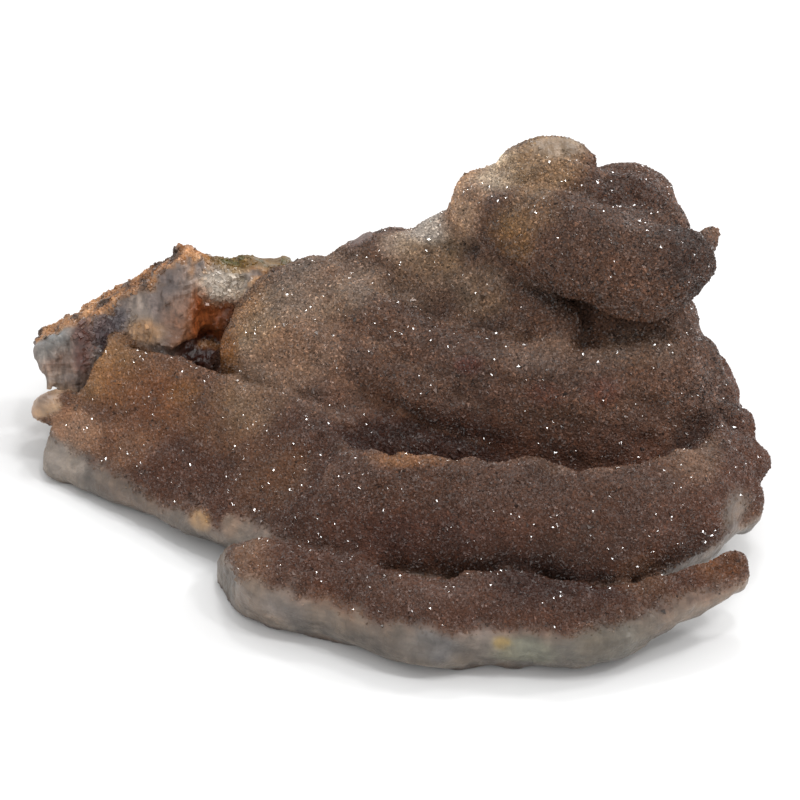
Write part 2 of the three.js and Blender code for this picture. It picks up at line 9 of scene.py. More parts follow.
import bpy
import numpy as np
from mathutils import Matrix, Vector


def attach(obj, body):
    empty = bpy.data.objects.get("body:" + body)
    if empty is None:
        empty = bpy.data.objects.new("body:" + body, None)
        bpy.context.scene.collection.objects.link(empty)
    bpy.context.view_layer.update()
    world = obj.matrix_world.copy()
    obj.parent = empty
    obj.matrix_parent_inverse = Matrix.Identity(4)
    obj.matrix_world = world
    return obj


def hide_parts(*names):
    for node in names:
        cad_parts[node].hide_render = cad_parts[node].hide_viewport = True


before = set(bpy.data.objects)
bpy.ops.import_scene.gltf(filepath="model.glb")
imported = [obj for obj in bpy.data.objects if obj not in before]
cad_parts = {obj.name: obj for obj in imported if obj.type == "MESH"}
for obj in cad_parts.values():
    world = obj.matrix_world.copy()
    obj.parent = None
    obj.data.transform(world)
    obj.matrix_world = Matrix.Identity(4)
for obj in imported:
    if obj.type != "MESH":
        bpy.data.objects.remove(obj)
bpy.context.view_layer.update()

MM = 0.001
MIDDLE = np.array([-1.5, -9.2, 0.0])

# Fineness of the skin, and the space it is worked out in.
CELL = 0.58
LOW = (-61.5, -53.0, -1.0)
HIGH = (58.5, 34.5, 53.5)

# Passes over that space: cells from value to value, and how near to the skin a value of
# the pass before has to be to be worked out again.
GRID_PASSES = ((4, 99), (2, 3.6), (1, 1.7))

# Fillets where parts of the form meet, from wide to nearly sharp.
JOIN_WIDE = 5
JOIN_BROAD = 4
JOIN_SOFT = 3
JOIN_FULL = 2.6
JOIN_PLAIN = 2
JOIN_SMALL = 1.5
JOIN_TIGHT = 1.2
JOIN_CRISP = 1
JOIN_KEEN = 0.8
JOIN_BROKEN = 0.5

# The slow waves of the solid model, as size, rates and starts.
WAVE_HEIGHT = 0.35
WAVES = [
    (0.9, (0.23, 0.27, 0.31), (0.4, 1.9, 0.7)),
    (0.55, (0.47, 0.52, 0.58), (2.1, 0.3, 1.2)),
    (0.3, (0.93, 1.02, 1.13), (0.9, 2.6, 0.1)),
]

# Lumps are centre and radii. Rolls are points with a radius. Chunks are planes, each a
# point on it and the way it faces.
CORE = [
    ((6, 2, 3), (42, 33, 13)),
    ((16, 8, 6), (36, 22, 17)),
    ((26, -13, 9.5), (14, 9, 7)),
    ((20, 10, 24), (10, 9, 9)),
    ((10, -31, 1.5), (28, 13, 8)),
]
FIRST_LEDGE = [
    (-27, -31, 3.5, 4.4), (-22.5, -31.5, 4, 5.4), (-17.5, -34.5, 4.8, 6.2),
    (-13, -36, 5, 6.5), (-8, -37, 5, 6.7), (0, -42, 5.3, 6.5), (6, -44, 5.4, 6.5),
    (11.5, -43, 5.4, 6.9), (18, -43, 5.4, 6.9), (24.5, -44.5, 5.4, 6.4),
    (31, -44, 6.2, 5.4), (37.5, -42, 7.8, 4.2), (43.5, -40, 9, 3.6), (48, -38, 10, 2.9),
]
FIRST_TROUGH = [
    (-19.5, -30.5, 14, 1.2), (-17, -31, 14, 3), (-13, -30.5, 14, 4.3), (-8, -31, 14, 4.6),
    (-4, -32.5, 13.6, 4.8), (0, -34.5, 13, 5), (4.5, -36, 12.8, 5), (8, -35.5, 12.8, 5),
    (11, -34.5, 13.4, 5), (17.5, -34, 13.4, 5), (21, -35, 13.2, 5), (24, -37, 12.8, 5),
    (28, -38, 12.8, 5), (31.5, -38, 13.2, 4.8), (37.5, -37, 13.6, 4.4),
    (43.5, -35.5, 14, 3.8), (48.5, -34, 15, 3), (54, -30.5, 15, 3),
]
FIRST_LEDGE_END = ((-26.5, -29, 0), (-1, -0.3, 0.1))
SECOND_LEDGE = [
    (-11, -24, 6, 6), (-7.5, -26, 8.5, 8), (-4, -26.5, 10.5, 9.5), (0.5, -26, 10.5, 10.6),
    (7.5, -26.5, 10.5, 11), (14.5, -27.5, 10, 11.4), (22, -28, 10, 11.4),
    (29, -29, 10.5, 11), (36, -26, 11, 10.5), (42, -20.5, 11, 9.8), (45, -14.5, 11, 9),
    (44.5, -6.5, 11.5, 8.4), (44, 3.5, 12, 8.4),
]
SECOND_TROUGH = [
    (-18.5, -8, 25, 1), (-16, -10, 24.6, 1.8), (-12, -13.5, 23.2, 2.8),
    (-8, -15.8, 22, 3.6), (-4.5, -17, 21.2, 4.4), (0, -19.8, 20, 5),
    (4.4, -19, 19.8, 5.2), (9, -20.6, 19.6, 5.4), (11.7, -21, 19.5, 5.4),
    (17.6, -19.6, 19.5, 5.5), (21.2, -20.1, 19.5, 5.5), (24.8, -21.8, 19.5, 5.5),
    (29.1, -22.3, 19.5, 5.5), (32.8, -21.3, 19.6, 5.4), (36.7, -19, 20, 5.2),
    (41.3, -16.6, 20.8, 4.8), (45.3, -14.2, 22.5, 3.8), (47.5, -12, 25, 2.6),
]
LEFT_LOBE = [
    ((-46, 11, 18), (-0.54, -0.65, 1)),
    ((-46, 11, 18), (0.59, 1, 0.5)),
    ((-16.5, -8, 21.5), (0.75, 1, 0.57)),
    ((-45.4, 10.4, 17.4), (-0.75, 1, -0.1)),
    ((-55.5, 0.5, 6), (-0.83, -1, 0.55)),
    ((-56.6, 2, 3), (-1, -0.1, 0.05)),
    ((-3, -30, 10), (1, -0.2, 0)),
    ((-40, -14, 2.8), (-0.5, -0.8, -1.1)),
]
LOW_CREST = [
    (-17, 1, 25, 3.4), (-15, -0.6, 24.9, 3.6), (-10.6, -2.4, 23.9, 3.6),
    (-5.6, -4.4, 22.9, 3.6), (-1.5, -6.4, 21.9, 3.6), (2, -8.4, 21.1, 3.6),
    (7.3, -10.4, 19.9, 3.6), (12.2, -11.3, 18.4, 3.4), (17, -12, 16.5, 3),
]
CREST_FOOT = [
    (-20, 2, 18, 4), (-16.5, -1.5, 18.5, 4.6), (-11, -6, 17.3, 5), (-5.6, -9, 15, 5.2),
    (-0.7, -11.8, 13.6, 5.4), (2, -13, 13, 5.4), (7.4, -14.6, 11.8, 5.4),
    (14.8, -14.4, 11.6, 5.3), (22, -13.5, 12.2, 5.6), (29, -14, 12.5, 5.6), (35, -12.5, 13.5, 5.6),
    (40, -9, 15, 5.2),
]
CREST_FACE = [
    (14, -10.4, 17.6, 5), (20, -11.6, 17.6, 5.8), (26, -13, 17.4, 6), (30, -12.4, 17.6, 6),
    (35, -10.8, 18, 6), (40, -8, 18.6, 6), (43.4, -4.5, 19, 5.2),
]
HIGH_CREST = [
    (-14, 4, 21, 7.5), (-9.5, 4.6, 23.6, 6.4), (-5.7, 4, 25, 6), (0.9, 0, 24.2, 5),
    (6.2, -3.7, 23.4, 5.2), (15, -8, 22.8, 6), (22.3, -10.2, 22.4, 6.2),
    (26.4, -12, 22, 6.2), (31, -9.8, 22.4, 6.2), (34.6, -8, 22.8, 6.2),
    (40, -7, 22.8, 6.3), (43.4, -4.2, 22.2, 5.5),
]
MOUND = [
    ((-12, 7, 13), (17, 14, 17.6)),
    ((-2.5, 13, 17), (13, 10, 14.6)),
    ((-14, 12.5, 23.5), (6, 5.5, 7.2)),
]
RIGHT_SCALLOPS = [
    ((44.6, -1.6, 22.4), (3.4, 3.6, 3.8)),
    ((47.6, -5.8, 18.8), (3.2, 3.4, 3.8)),
    ((50.4, -10.6, 15.6), (3.4, 3.6, 4)),
    ((52, -15.2, 12.4), (3.4, 3.6, 4.6)),
    ((50.8, -20.6, 9), (3.4, 3.4, 5)),
]
FOURTH_FOLD = [
    (-3, 16, 29.4, 3), (0.3, 14.8, 31.2, 3.2), (5.6, 13.4, 31.6, 3.4), (11.1, 11, 31.4, 3.6),
    (15.6, 7.4, 31, 4), (20.5, 1.6, 30, 4.2), (23.7, -1.6, 28.2, 4),
]
FOLD_FACE = [
    (-2, 13.6, 25.4, 4.4), (5, 11.6, 26, 4.8), (11, 9, 26, 4.8), (16, 5.4, 26, 4.8),
    (21, 1.2, 25.4, 4.6),
]
FOLD_FOOT = [
    (-4, 12.5, 22, 4.4), (3.1, 10.4, 22.6, 4.6), (8, 7.4, 22.4, 4.8), (12, 4.6, 22.4, 4.8),
    (16, 2.2, 22.2, 4.8), (21.1, -1.4, 21.8, 4.8), (27, -3.8, 21.6, 4.8), (33, -2.4, 21.4, 5),
    (38, -0.4, 21.4, 5),
]
FOLD_BACK = [
    (4.5, 16.8, 33, 2.4), (7, 16.4, 34, 2.8), (9.5, 15, 34.6, 3), (12, 14, 35.4, 3.4),
]
NECK = [
    ((35, 5, 23), (11, 11, 11)),
    ((22, 9.5, 31.5), (11, 7, 7)),
]
KNOB_CORE = [
    ((30, 12.5, 37), (12.3, 9, 8.2), -8),
    ((35, 17.6, 37.6), (7.6, 7.2, 7.1)),
    ((31, 5, 40), (10, 8, 5.4)),
    ((21, 11.5, 42.2), (7.8, 6, 4.9)),
]
KNOB_LOW = [
    (12.7, 12.2, 41.2, 4), (16.4, 8.6, 41.2, 4.7), (19.6, 6.2, 40.8, 5.2),
    (25.4, 2, 39.6, 6), (30, -0.2, 39.2, 6.4), (34.3, -2.1, 38.5, 6.9),
    (38.3, -2.5, 38.3, 6.2), (41.8, -1.6, 38.4, 4.6),
]
KNOB_MIDDLE = [
    (11.6, 13.6, 41.2, 3.5), (16.2, 11, 41.4, 4.3), (22.1, 6.4, 42, 5.3),
    (26, 2.6, 42, 5.5), (31.3, -0.4, 41.2, 5.6), (37.5, -2, 40.4, 5.2),
    (42.6, 0.2, 39.6, 4.2),
]
KNOB_TOP = [
    (15.4, 12.4, 42.2, 4), (20, 13.5, 44, 4.4), (24.5, 12.5, 44.6, 4.4),
    (29.5, 10.5, 42.4, 4.5), (34.5, 12.5, 41.1, 4.6), (38, 10, 40.6, 4.5),
    (40, 7, 39.6, 4.3),
]
KNOB_LEFT = [(11.8, 16, 38.6, 3.6), (12.2, 16.5, 40.4, 3.9), (15.5, 16, 41.6, 4)]
PALE_TIP = [
    (17.7, 16.1, 46.3, 2.4), (20, 16.5, 47.6, 2.5), (23.2, 16.9, 48, 2.6),
    (26.2, 16.4, 48, 2.4), (27.6, 15.6, 47.2, 2),
]
HORN = [(44, 4.5, 37.8, 2.6), (46, 6, 38.8, 1.9), (47, 7, 39.6, 1.5)]
BACK_LUMP = [
    (-9, 16, 27.5, 3), (-5.5, 15.8, 28.8, 4.2), (-2, 16, 29.9, 4.6), (0.6, 15.8, 30, 4.2),
]
BACK = [
    ((10, 13, 31), (-0.1, 0.75, 1)),
    ((10, 28, 12), (0.12, 1, 0.12)),
    ((38, 22, 12), (0.75, 0.6, 0.15)),
    ((-24, 20, 10), (-1, 0.3, 0.1)),
    ((10, 12, 25), (0, -1, 0.3)),
]
KNOB_BACK = [
    ((26, 19, 43.5), (0.12, 0.6, 1)),
    ((12, 18, 31), (-1, 0.25, 0.45)),
    ((37, 18, 32), (1, 0.35, 0.2)),
    ((24, 26, 30), (-0.25, 1, 0.3)),
    ((28, 12, 30), (0, -1, 0)),
    ((28, 16, 18), (0, 0, -1)),
]
BACK_BREAK = ((0, 31.5, 6), (0.05, 1, 0.1))
PEAK = [
    ((-43.2, 13.2, 23), (0.04, -1, 0.32)),
    ((-42.1, 18.5, 23.3), (-0.52, 0.1, 1)),
    ((-27, 18, 27.8), (0.06, 0.2, 1)),
    ((-58, 12.5, 15.5), (-1, 0.1, -0.5)),
    ((-17, 12, 20), (1, 0, 0)),
    ((-40, 19.5, 20), (-0.2, 1, 0.25)),
]
PEAK_HEAD = [
    ((-37, 10.6, 23), (-0.4, -1, 0.45)),
    ((-33.5, 10.8, 25), (0.7, -1, 0.5)),
    ((-33, 17, 31.2), (-0.8, 0.15, 1)),
    ((-33, 17, 31.2), (0.72, 0.15, 1)),
    ((-33, 20.5, 20), (0.1, 1, 0.3)),
    ((-33, 17, 14), (0, 0, -1)),
]
SCOOP = ((-26.8, 7, 20.5), (6, 7, 7), 20)
HOLE = ((-31, 8.5, 16.5), (4.6, 6, 3), -30)
WEDGE = [
    (-41.6, 12, 18, 1.5), (-39.4, 12, 19.8, 1.9), (-36.5, 10, 18.8, 1.9), (-34.2, 7.6, 17.8, 1.3),
]
CHIP = ((-53.6, 5, 8.9), (4, 3, 2.7), 20)


# Joining and carving of distance values, with a fillet of size k.
def join(a, b, k):
    h = np.maximum(k - np.abs(a - b), 0) / k
    return np.minimum(a, b) - h * h * k / 4


def both(a, b, k):
    return -join(-a, -b, k)


def carve(a, b, k):
    return both(a, -b, k)


# Stops on a roll's curve from one point to the next. A roll farther off than ROLL_REACH
# counts as that far.
CURVE_STOPS = 4
ROLL_REACH = 7.0
TINY = 1e-9


def along_curve(points):
    """Stops on a smooth curve through the points, each with its radius."""
    line = np.array(points, np.float32)
    line = np.vstack([2 * line[0] - line[1], line, 2 * line[-1] - line[-2]])
    stops = []
    for p0, p1, p2, p3 in zip(line[:-3], line[1:-2], line[2:-1], line[3:]):
        for t in np.arange(CURVE_STOPS) / CURVE_STOPS:
            a = 2 * t ** 3 - 3 * t ** 2 + 1
            b = t ** 3 - 2 * t ** 2 + t
            c = -2 * t ** 3 + 3 * t ** 2
            d = t ** 3 - t ** 2
            stops.append(a * p1 + b * 0.5 * (p2 - p0) + c * p2 + d * 0.5 * (p3 - p1))
    stops.append(line[-2])
    return np.array(stops, np.float32)


# Distances. Places, p, are given as three rows, x, y and z.
def from_roll(points, p):
    stops = along_curve(points)
    low = (stops[:, :3] - stops[:, 3:]).min(0) - ROLL_REACH
    high = (stops[:, :3] + stops[:, 3:]).max(0) + ROLL_REACH
    near = ((p > low[:, None]) & (p < high[:, None])).all(0)
    x, y, z = p[:, near]
    best = np.full(len(x), ROLL_REACH, np.float32)
    for (ax, ay, az, ar), (bx, by, bz, br) in zip(stops[:-1], stops[1:]):
        ux, uy, uz = bx - ax, by - ay, bz - az
        px, py, pz = x - ax, y - ay, z - az
        share = (px * ux + py * uy + pz * uz) / (ux * ux + uy * uy + uz * uz)
        t = np.clip(share, 0, 1)
        away = np.sqrt((px - t * ux) ** 2 + (py - t * uy) ** 2 + (pz - t * uz) ** 2)
        np.minimum(best, away - (ar + t * (br - ar)), out=best)
    out = np.full(p.shape[1], ROLL_REACH, np.float32)
    out[near] = best
    return out


def from_lump(lump, p):
    centre, radii = lump[0], np.array(lump[1], np.float32)[:, None]
    turn = math.radians(lump[2] if len(lump) > 2 else 0)
    c, s = math.cos(turn), math.sin(turn)
    dx, dy, dz = p[0] - centre[0], p[1] - centre[1], p[2] - centre[2]
    local = np.stack([c * dx + s * dy, -s * dx + c * dy, dz])
    reach = np.sqrt(((local / radii) ** 2).sum(0))
    slope = np.sqrt(((local / radii ** 2) ** 2).sum(0))
    return np.where(slope > TINY, reach * (reach - 1) / np.maximum(slope, TINY), -radii.min())


def from_plane(plane, p):
    point, faces = plane
    n = np.array(faces) / np.linalg.norm(faces)
    return sum((p[i] - point[i]) * n[i] for i in range(3)).astype(np.float32)


def from_chunk(planes, p, k):
    d = from_plane(planes[0], p)
    for plane in planes[1:]:
        d = both(d, from_plane(plane, p), k)
    return d


def join_lumps(d, lumps, p, k):
    for lump in lumps:
        d = join(d, from_lump(lump, p), k)
    return d


def waves(p):
    x, y, z = p
    total = np.zeros(len(x), np.float32)
    for size, (wx, wy, wz), (fx, fy, fz) in WAVES:
        a = np.sin(wx * x + fx + 1.7 * np.sin(wy * y * 0.6 + fz))
        b = np.sin(wy * y + fy + 1.3 * np.sin(wz * z * 0.7 + fx))
        c = np.cos(wz * z + fz + 1.1 * np.sin(wx * x * 0.5 + fy))
        total += size * a * b * c
    return total


# The form, as in the solid.
def ledges(p):
    d = join_lumps(from_lump(CORE[0], p), CORE[1:], p, JOIN_WIDE)
    first = both(from_roll(FIRST_LEDGE, p), from_plane(FIRST_LEDGE_END, p), JOIN_CRISP)
    d = join(d, first, JOIN_PLAIN)
    d = carve(d, from_roll(FIRST_TROUGH, p), JOIN_KEEN)
    mound = join_lumps(from_lump(MOUND[0], p), MOUND[1:], p, JOIN_BROAD)
    d = join(d, mound, JOIN_BROAD)
    lobe = join(from_chunk(LEFT_LOBE, p, JOIN_SMALL), from_roll(SECOND_LEDGE, p), JOIN_WIDE)
    d = join(d, lobe, JOIN_CRISP)
    d = carve(d, from_roll(SECOND_TROUGH, p), JOIN_KEEN)
    for crest, below in ((LOW_CREST, CREST_FOOT), (HIGH_CREST, CREST_FACE)):
        d = join(d, join(from_roll(crest, p), from_roll(below, p), JOIN_PLAIN), JOIN_PLAIN)
    return join_lumps(d, RIGHT_SCALLOPS, p, JOIN_SMALL)


def knob(p):
    d = join_lumps(from_lump(KNOB_CORE[0], p), KNOB_CORE[1:], p, JOIN_SOFT)
    d = join(d, from_roll(KNOB_LOW, p), JOIN_PLAIN)
    for fold in (KNOB_MIDDLE, KNOB_TOP, KNOB_LEFT):
        d = join(d, from_roll(fold, p), JOIN_TIGHT)
    return d


def upper_folds(d, p):
    fold = join(from_roll(FOURTH_FOLD, p), from_roll(FOLD_FACE, p), JOIN_SOFT)
    fold = join(fold, from_roll(FOLD_FOOT, p), JOIN_PLAIN)
    d = join(d, join(fold, from_roll(FOLD_BACK, p), JOIN_CRISP), JOIN_BROAD)
    d = join_lumps(d, NECK, p, JOIN_PLAIN)
    d = join(d, knob(p), JOIN_FULL)
    for end in (PALE_TIP, HORN):
        d = join(d, from_roll(end, p), JOIN_KEEN)
    return d


def broken_parts(d, p):
    d = join(d, from_roll(BACK_LUMP, p), JOIN_SMALL)
    for chunk in (BACK, KNOB_BACK):
        d = join(d, from_chunk(chunk, p, JOIN_TIGHT), JOIN_SMALL)
    peak = join(from_chunk(PEAK, p, JOIN_BROKEN), from_chunk(PEAK_HEAD, p, JOIN_BROKEN), JOIN_CRISP)
    d = join(d, carve(peak, from_lump(SCOOP, p), JOIN_SMALL), JOIN_CRISP)
    d = join(d, from_lump(CHIP, p), JOIN_KEEN)
    d = join(d, from_roll(WEDGE, p), JOIN_CRISP)
    d = carve(d, from_lump(HOLE, p), JOIN_CRISP)
    return both(d, from_plane(BACK_BREAK, p), JOIN_TIGHT)


# Tables of chance values for noise and chips, and the cells round one cell.
NOISE_TABLE = (24, 24, 24)
CHIP_TABLE = (16, 16, 16)
CHIP_SHIFT = 0.4
NEIGHBOURS = [(x, y, z) for z in (-1, 0, 1) for y in (-1, 0, 1) for x in (-1, 0, 1)]


def step(low, high, value):
    """0 at low and before it, 1 at high and past it, with a soft rise between."""
    t = np.clip((value - low) / (high - low), 0, 1)
    return t * t * (3 - 2 * t)


def noise(p, size, seed):
    """Smooth noise from -1 to 1, the same on every run. Size is the width of one bump."""
    table = np.random.RandomState(seed).uniform(-1, 1, NOISE_TABLE).astype(np.float32)
    q = p / np.array(size, np.float32).reshape(-1, 1)
    base = np.floor(q).astype(np.int32)
    t = q - base
    t = t * t * (3 - 2 * t)
    total = 0
    for corner in range(8):
        far = [(corner >> axis) & 1 for axis in range(3)]
        at = [(base[axis] + far[axis]) % NOISE_TABLE[axis] for axis in range(3)]
        share = [t[axis] if far[axis] else 1 - t[axis] for axis in range(3)]
        total = total + table[at[0], at[1], at[2]] * share[0] * share[1] * share[2]
    return total


def chips(p, size, seed):
    """Chipped stone: cells of about one size, each with a flat face of its own tilt."""
    rng = np.random.RandomState(seed)
    shift = rng.uniform(-CHIP_SHIFT, CHIP_SHIFT, (3,) + CHIP_TABLE).astype(np.float32)
    tilt = rng.uniform(-1, 1, (3,) + CHIP_TABLE).astype(np.float32)
    q = p / size
    base = np.floor(q).astype(np.int32)
    nearest = np.full(p.shape[1], np.inf, np.float32)
    height = np.zeros(p.shape[1], np.float32)
    for neighbour in NEIGHBOURS:
        cell = base + np.array(neighbour)[:, None]
        at = tuple(cell % CHIP_TABLE[0])
        away = q - cell - 0.5 - np.stack([shift[axis][at] for axis in range(3)])
        distance = (away ** 2).sum(0)
        nearer = distance < nearest
        nearest[nearer] = distance[nearer]
        lean = sum(away[axis] * tilt[axis][at] for axis in range(3))
        height[nearer] = lean[nearer]
    return height * size


def mixed(kind, p, seed, layers):
    """Noise or chips of several widths together. Each layer is a height and a width."""
    return sum(height * kind(p, width, seed + i) for i, (height, width) in enumerate(layers))


# Relief that is finer than the solid model's: long low folds, small lumps and grains where
# crystals grew, flat chips and a little roughness where the stone is broken.
GROWN_RELIEF = ((0.36, (9.0, 3.4, 2.6)), (0.34, 2.6), (0.2, 1.3))
CHIP_RELIEF = ((0.2, 4.4), (0.2, 2.1))
ROUGH_RELIEF = ((0.08, 1.2),)

# How far the broken form stands out of the grown one where chips take over.
BREAK_FADE = (0.4, 1.6)


def grown_relief(p):
    return mixed(noise, p, 1, GROWN_RELIEF)


def broken_relief(p):
    return mixed(chips, p, 4, CHIP_RELIEF) + mixed(noise, p, 6, ROUGH_RELIEF)


def stone(p):
    """Distance to the finished skin of the stone, below 0 inside it."""
    grown = upper_folds(ledges(p), p)
    whole = broken_parts(grown, p)
    broken = step(*BREAK_FADE, grown - whole)
    relief = grown_relief(p)
    at = broken > 0
    relief[at] += (broken_relief(p[:, at]) - relief[at]) * broken[at]
    return np.maximum(whole - WAVE_HEIGHT * waves(p) - relief, -p[2])


def spread(values):
    """The same values on a grid twice as fine, with means put in between."""
    for axis in range(3):
        values = np.moveaxis(values, axis, 0)
        fine = np.empty((2 * len(values) - 1,) + values.shape[1:], np.float32)
        fine[::2] = values
        fine[1::2] = (values[1:] + values[:-1]) / 2
        values = np.moveaxis(fine, 0, axis)
    return values


def grid_values(field):
    """Field values on a grid, worked out fully only near the skin."""
    coarse = GRID_PASSES[0][0]
    count = [coarse * math.ceil((HIGH[i] - LOW[i]) / CELL / coarse) + 1 for i in range(3)]
    values = None
    for stride, near in GRID_PASSES:
        axes = [(LOW[i] + CELL * np.arange(0, count[i], stride)) for i in range(3)]
        if values is None:
            values = np.zeros([len(a) for a in axes], np.float32)
        else:
            values = spread(values)
        at = np.nonzero(np.abs(values) < near)
        p = np.stack([axes[i][at[i]] for i in range(3)]).astype(np.float32)
        values[at] = field(p)
    return values


# The four cells round an edge of the grid, in order.
ROUND_EDGE = ((0, 0), (-1, 0), (-1, -1), (0, -1))


def skin(values):
    """One vertex for each grid cell that the skin passes, and a face for each crossed edge."""
    inside = values < 0
    cells = np.array(values.shape) - 1
    total = int(cells.prod())
    place = np.zeros((total, 3))
    hits = np.zeros(total)
    faces = []
    for axis in range(3):
        before = tuple(slice(0, -1) if i == axis else slice(None) for i in range(3))
        after = tuple(slice(1, None) if i == axis else slice(None) for i in range(3))
        at = np.argwhere(inside[before] != inside[after])
        a = values[before][tuple(at.T)]
        b = values[after][tuple(at.T)]
        point = at.astype(float)
        point[:, axis] += a / (a - b)
        ring = []
        for u, v in ROUND_EDGE:
            cell = at.copy()
            cell[:, (axis + 1) % 3] += u
            cell[:, (axis + 2) % 3] += v
            number = (cell[:, 0] * cells[1] + cell[:, 1]) * cells[2] + cell[:, 2]
            np.add.at(place, number, point)
            np.add.at(hits, number, 1)
            ring.append(number)
        ring = np.stack(ring, 1)
        turned = a > 0
        ring[turned] = ring[turned][:, ::-1]
        faces.append(ring)
    used = np.flatnonzero(hits)
    vertex = np.zeros(total, np.int32)
    vertex[used] = np.arange(len(used))
    points = place[used] / hits[used][:, None] * CELL + np.array(LOW)
    return points, vertex[np.vstack(faces)]


def new_object(name, data):
    item = bpy.data.objects.new(name, data)
    bpy.context.scene.collection.objects.link(item)
    return item


def new_piece(name, points, faces, smooth):
    mesh = bpy.data.meshes.new(name)
    mesh.vertices.add(len(points))
    mesh.vertices.foreach_set("co", ((points - MIDDLE) * MM).astype(np.float32).ravel())
    mesh.loops.add(faces.size)
    mesh.loops.foreach_set("vertex_index", faces.astype(np.int32).ravel())
    mesh.polygons.add(len(faces))
    mesh.polygons.foreach_set("loop_start", np.arange(0, faces.size, faces.shape[1]))
    mesh.polygons.foreach_set("use_smooth", np.full(len(faces), smooth))
    mesh.update(calc_edges=True)
    mesh.validate()
    return new_object(name, mesh)


def mark(piece, name, values, kind="FLOAT", field="value"):
    layer = piece.data.attributes.new(name, kind, "POINT")
    layer.data.foreach_set(field, np.asarray(values, np.float32).ravel())


def paint(piece, colours):
    rgba = np.hstack([colours, np.ones((len(colours), 1))])
    mark(piece, "tint", rgba, "FLOAT_COLOR", "color")


def seen(red, green, blue):
    """A colour as the eye sees it, 0 to 255, as the light value that the renderer needs."""
    share = np.array([red, green, blue]) / 255
    return np.where(share <= 0.04045, share / 12.92, ((share + 0.055) / 1.055) ** 2.4)


body_points, body_faces = skin(grid_values(stone))
body_points[:, 2] = np.maximum(body_points[:, 2], 0)
stone_skin = new_piece("stone_skin", body_points, body_faces, True)
body_ups = np.zeros(len(body_points) * 3, np.float32)
stone_skin.data.vertex_normals.foreach_get("vector", body_ups)
body_ups = body_ups.reshape(-1, 3)

# A soft ball is full up to one share of its radius and ends at the other. Noise makes a
# stain's edge ragged.
BALL_FULL = 0.4
BALL_END = 1.15
RAGGED = ((0.35, 5), (0.25, 1.8))
RAGGED_STRENGTH = 1.2


def ball(p, centre, radii):
    """1 in the middle of a soft ball, 0 at its edge and outside."""
    centre = np.array(centre, np.float32)[:, None]
    radii = np.array(radii, np.float32).reshape(-1, 1)
    away = np.sqrt((((p - centre) / radii) ** 2).sum(0))
    return step(BALL_END, BALL_FULL, away)


def laid_over(colours, share, colour):
    return colours + (np.array(colour, float)[:, None] - colours) * share


def stained(colours, p, stains, seed):
    """Colours with each stain laid over them, its edge broken up by noise."""
    ragged = mixed(noise, p, seed, RAGGED)
    for centre, radii, colour, strength in stains:
        share = np.clip(ball(p, centre, radii) * (1 + ragged * RAGGED_STRENGTH), 0, 1) * strength
        colours = laid_over(colours, share, colour)
    return colours


# Height below which the front of the stone is broken bare, along x.
BARE_ALONG = (
    -58, -55, -51, -46, -41, -36, -33, -30, -27, -25, -22, -16, -10, -4, 4, 12, 20, 27, 33, 42, 50,
)
BARE_HEIGHT = (
    7, 6.4, 5.8, 6, 5.2, 5.2, 6, 6.6, 6.4, 7.4, 8.6, 8.8, 8.4, 8, 8.6, 8.6, 8.6, 8.8, 9.2, 9.6, 9.6,
)


# Spots without crust: the pale tip, the notch, the low wing and two chips by the lobe.
BARE_SPOTS = [
    ((23.5, 16, 50), (6.5, 4, 3)),
    ((50, -27, 12), (5, 5, 4.5)),
    ((42, -44, 9), (7, 4, 2.6)),
    ((-30.2, -20.4, 6), (2.2, 2.6, 1.7)),
    ((-25.6, -22.8, 7), (1.7, 2.6, 1.7)),
]
BARE_RAGGED = ((0.7, 3), (0.5, 1.2))

# The crust ends over these distances from the grown skin, heights over the bare edge and
# heights over the floor.
CRUST_DEPTHS = (1.5, 0.8)
EDGE_FADE = (1.9, -1.1)
FOOT_FADE = (0.5, 2.2)

# The front ends between two slanting lines. FRONT_LINES is their y at x = FRONT_MIDDLE, and
# FRONT_SLANT is how much y falls for each millimetre to the right.
FRONT_LINES = (10, 2)
FRONT_MIDDLE = -10
FRONT_SLANT = 0.25


def bare_edge(p):
    """Height of the crust's lower edge along the front."""
    return np.interp(p[0], BARE_ALONG, BARE_HEIGHT) + mixed(noise, p, 11, BARE_RAGGED)


def front_share(p):
    """1 on the front of the specimen, 0 behind a slanting line across it."""
    return step(*FRONT_LINES, p[1] + FRONT_SLANT * (p[0] - FRONT_MIDDLE))


def crust_share(p, depth):
    """How much of the skin's crust of crystals is there, from 0 to 1."""
    share = step(*CRUST_DEPTHS, np.abs(depth))
    share = share * (1 - front_share(p) * step(*EDGE_FADE, p[2] - bare_edge(p)))
    share = share * step(*FOOT_FADE, p[2])
    for centre, radii in BARE_SPOTS:
        share = share * (1 - ball(p, centre, radii))
    return np.clip(share, 0, 1)


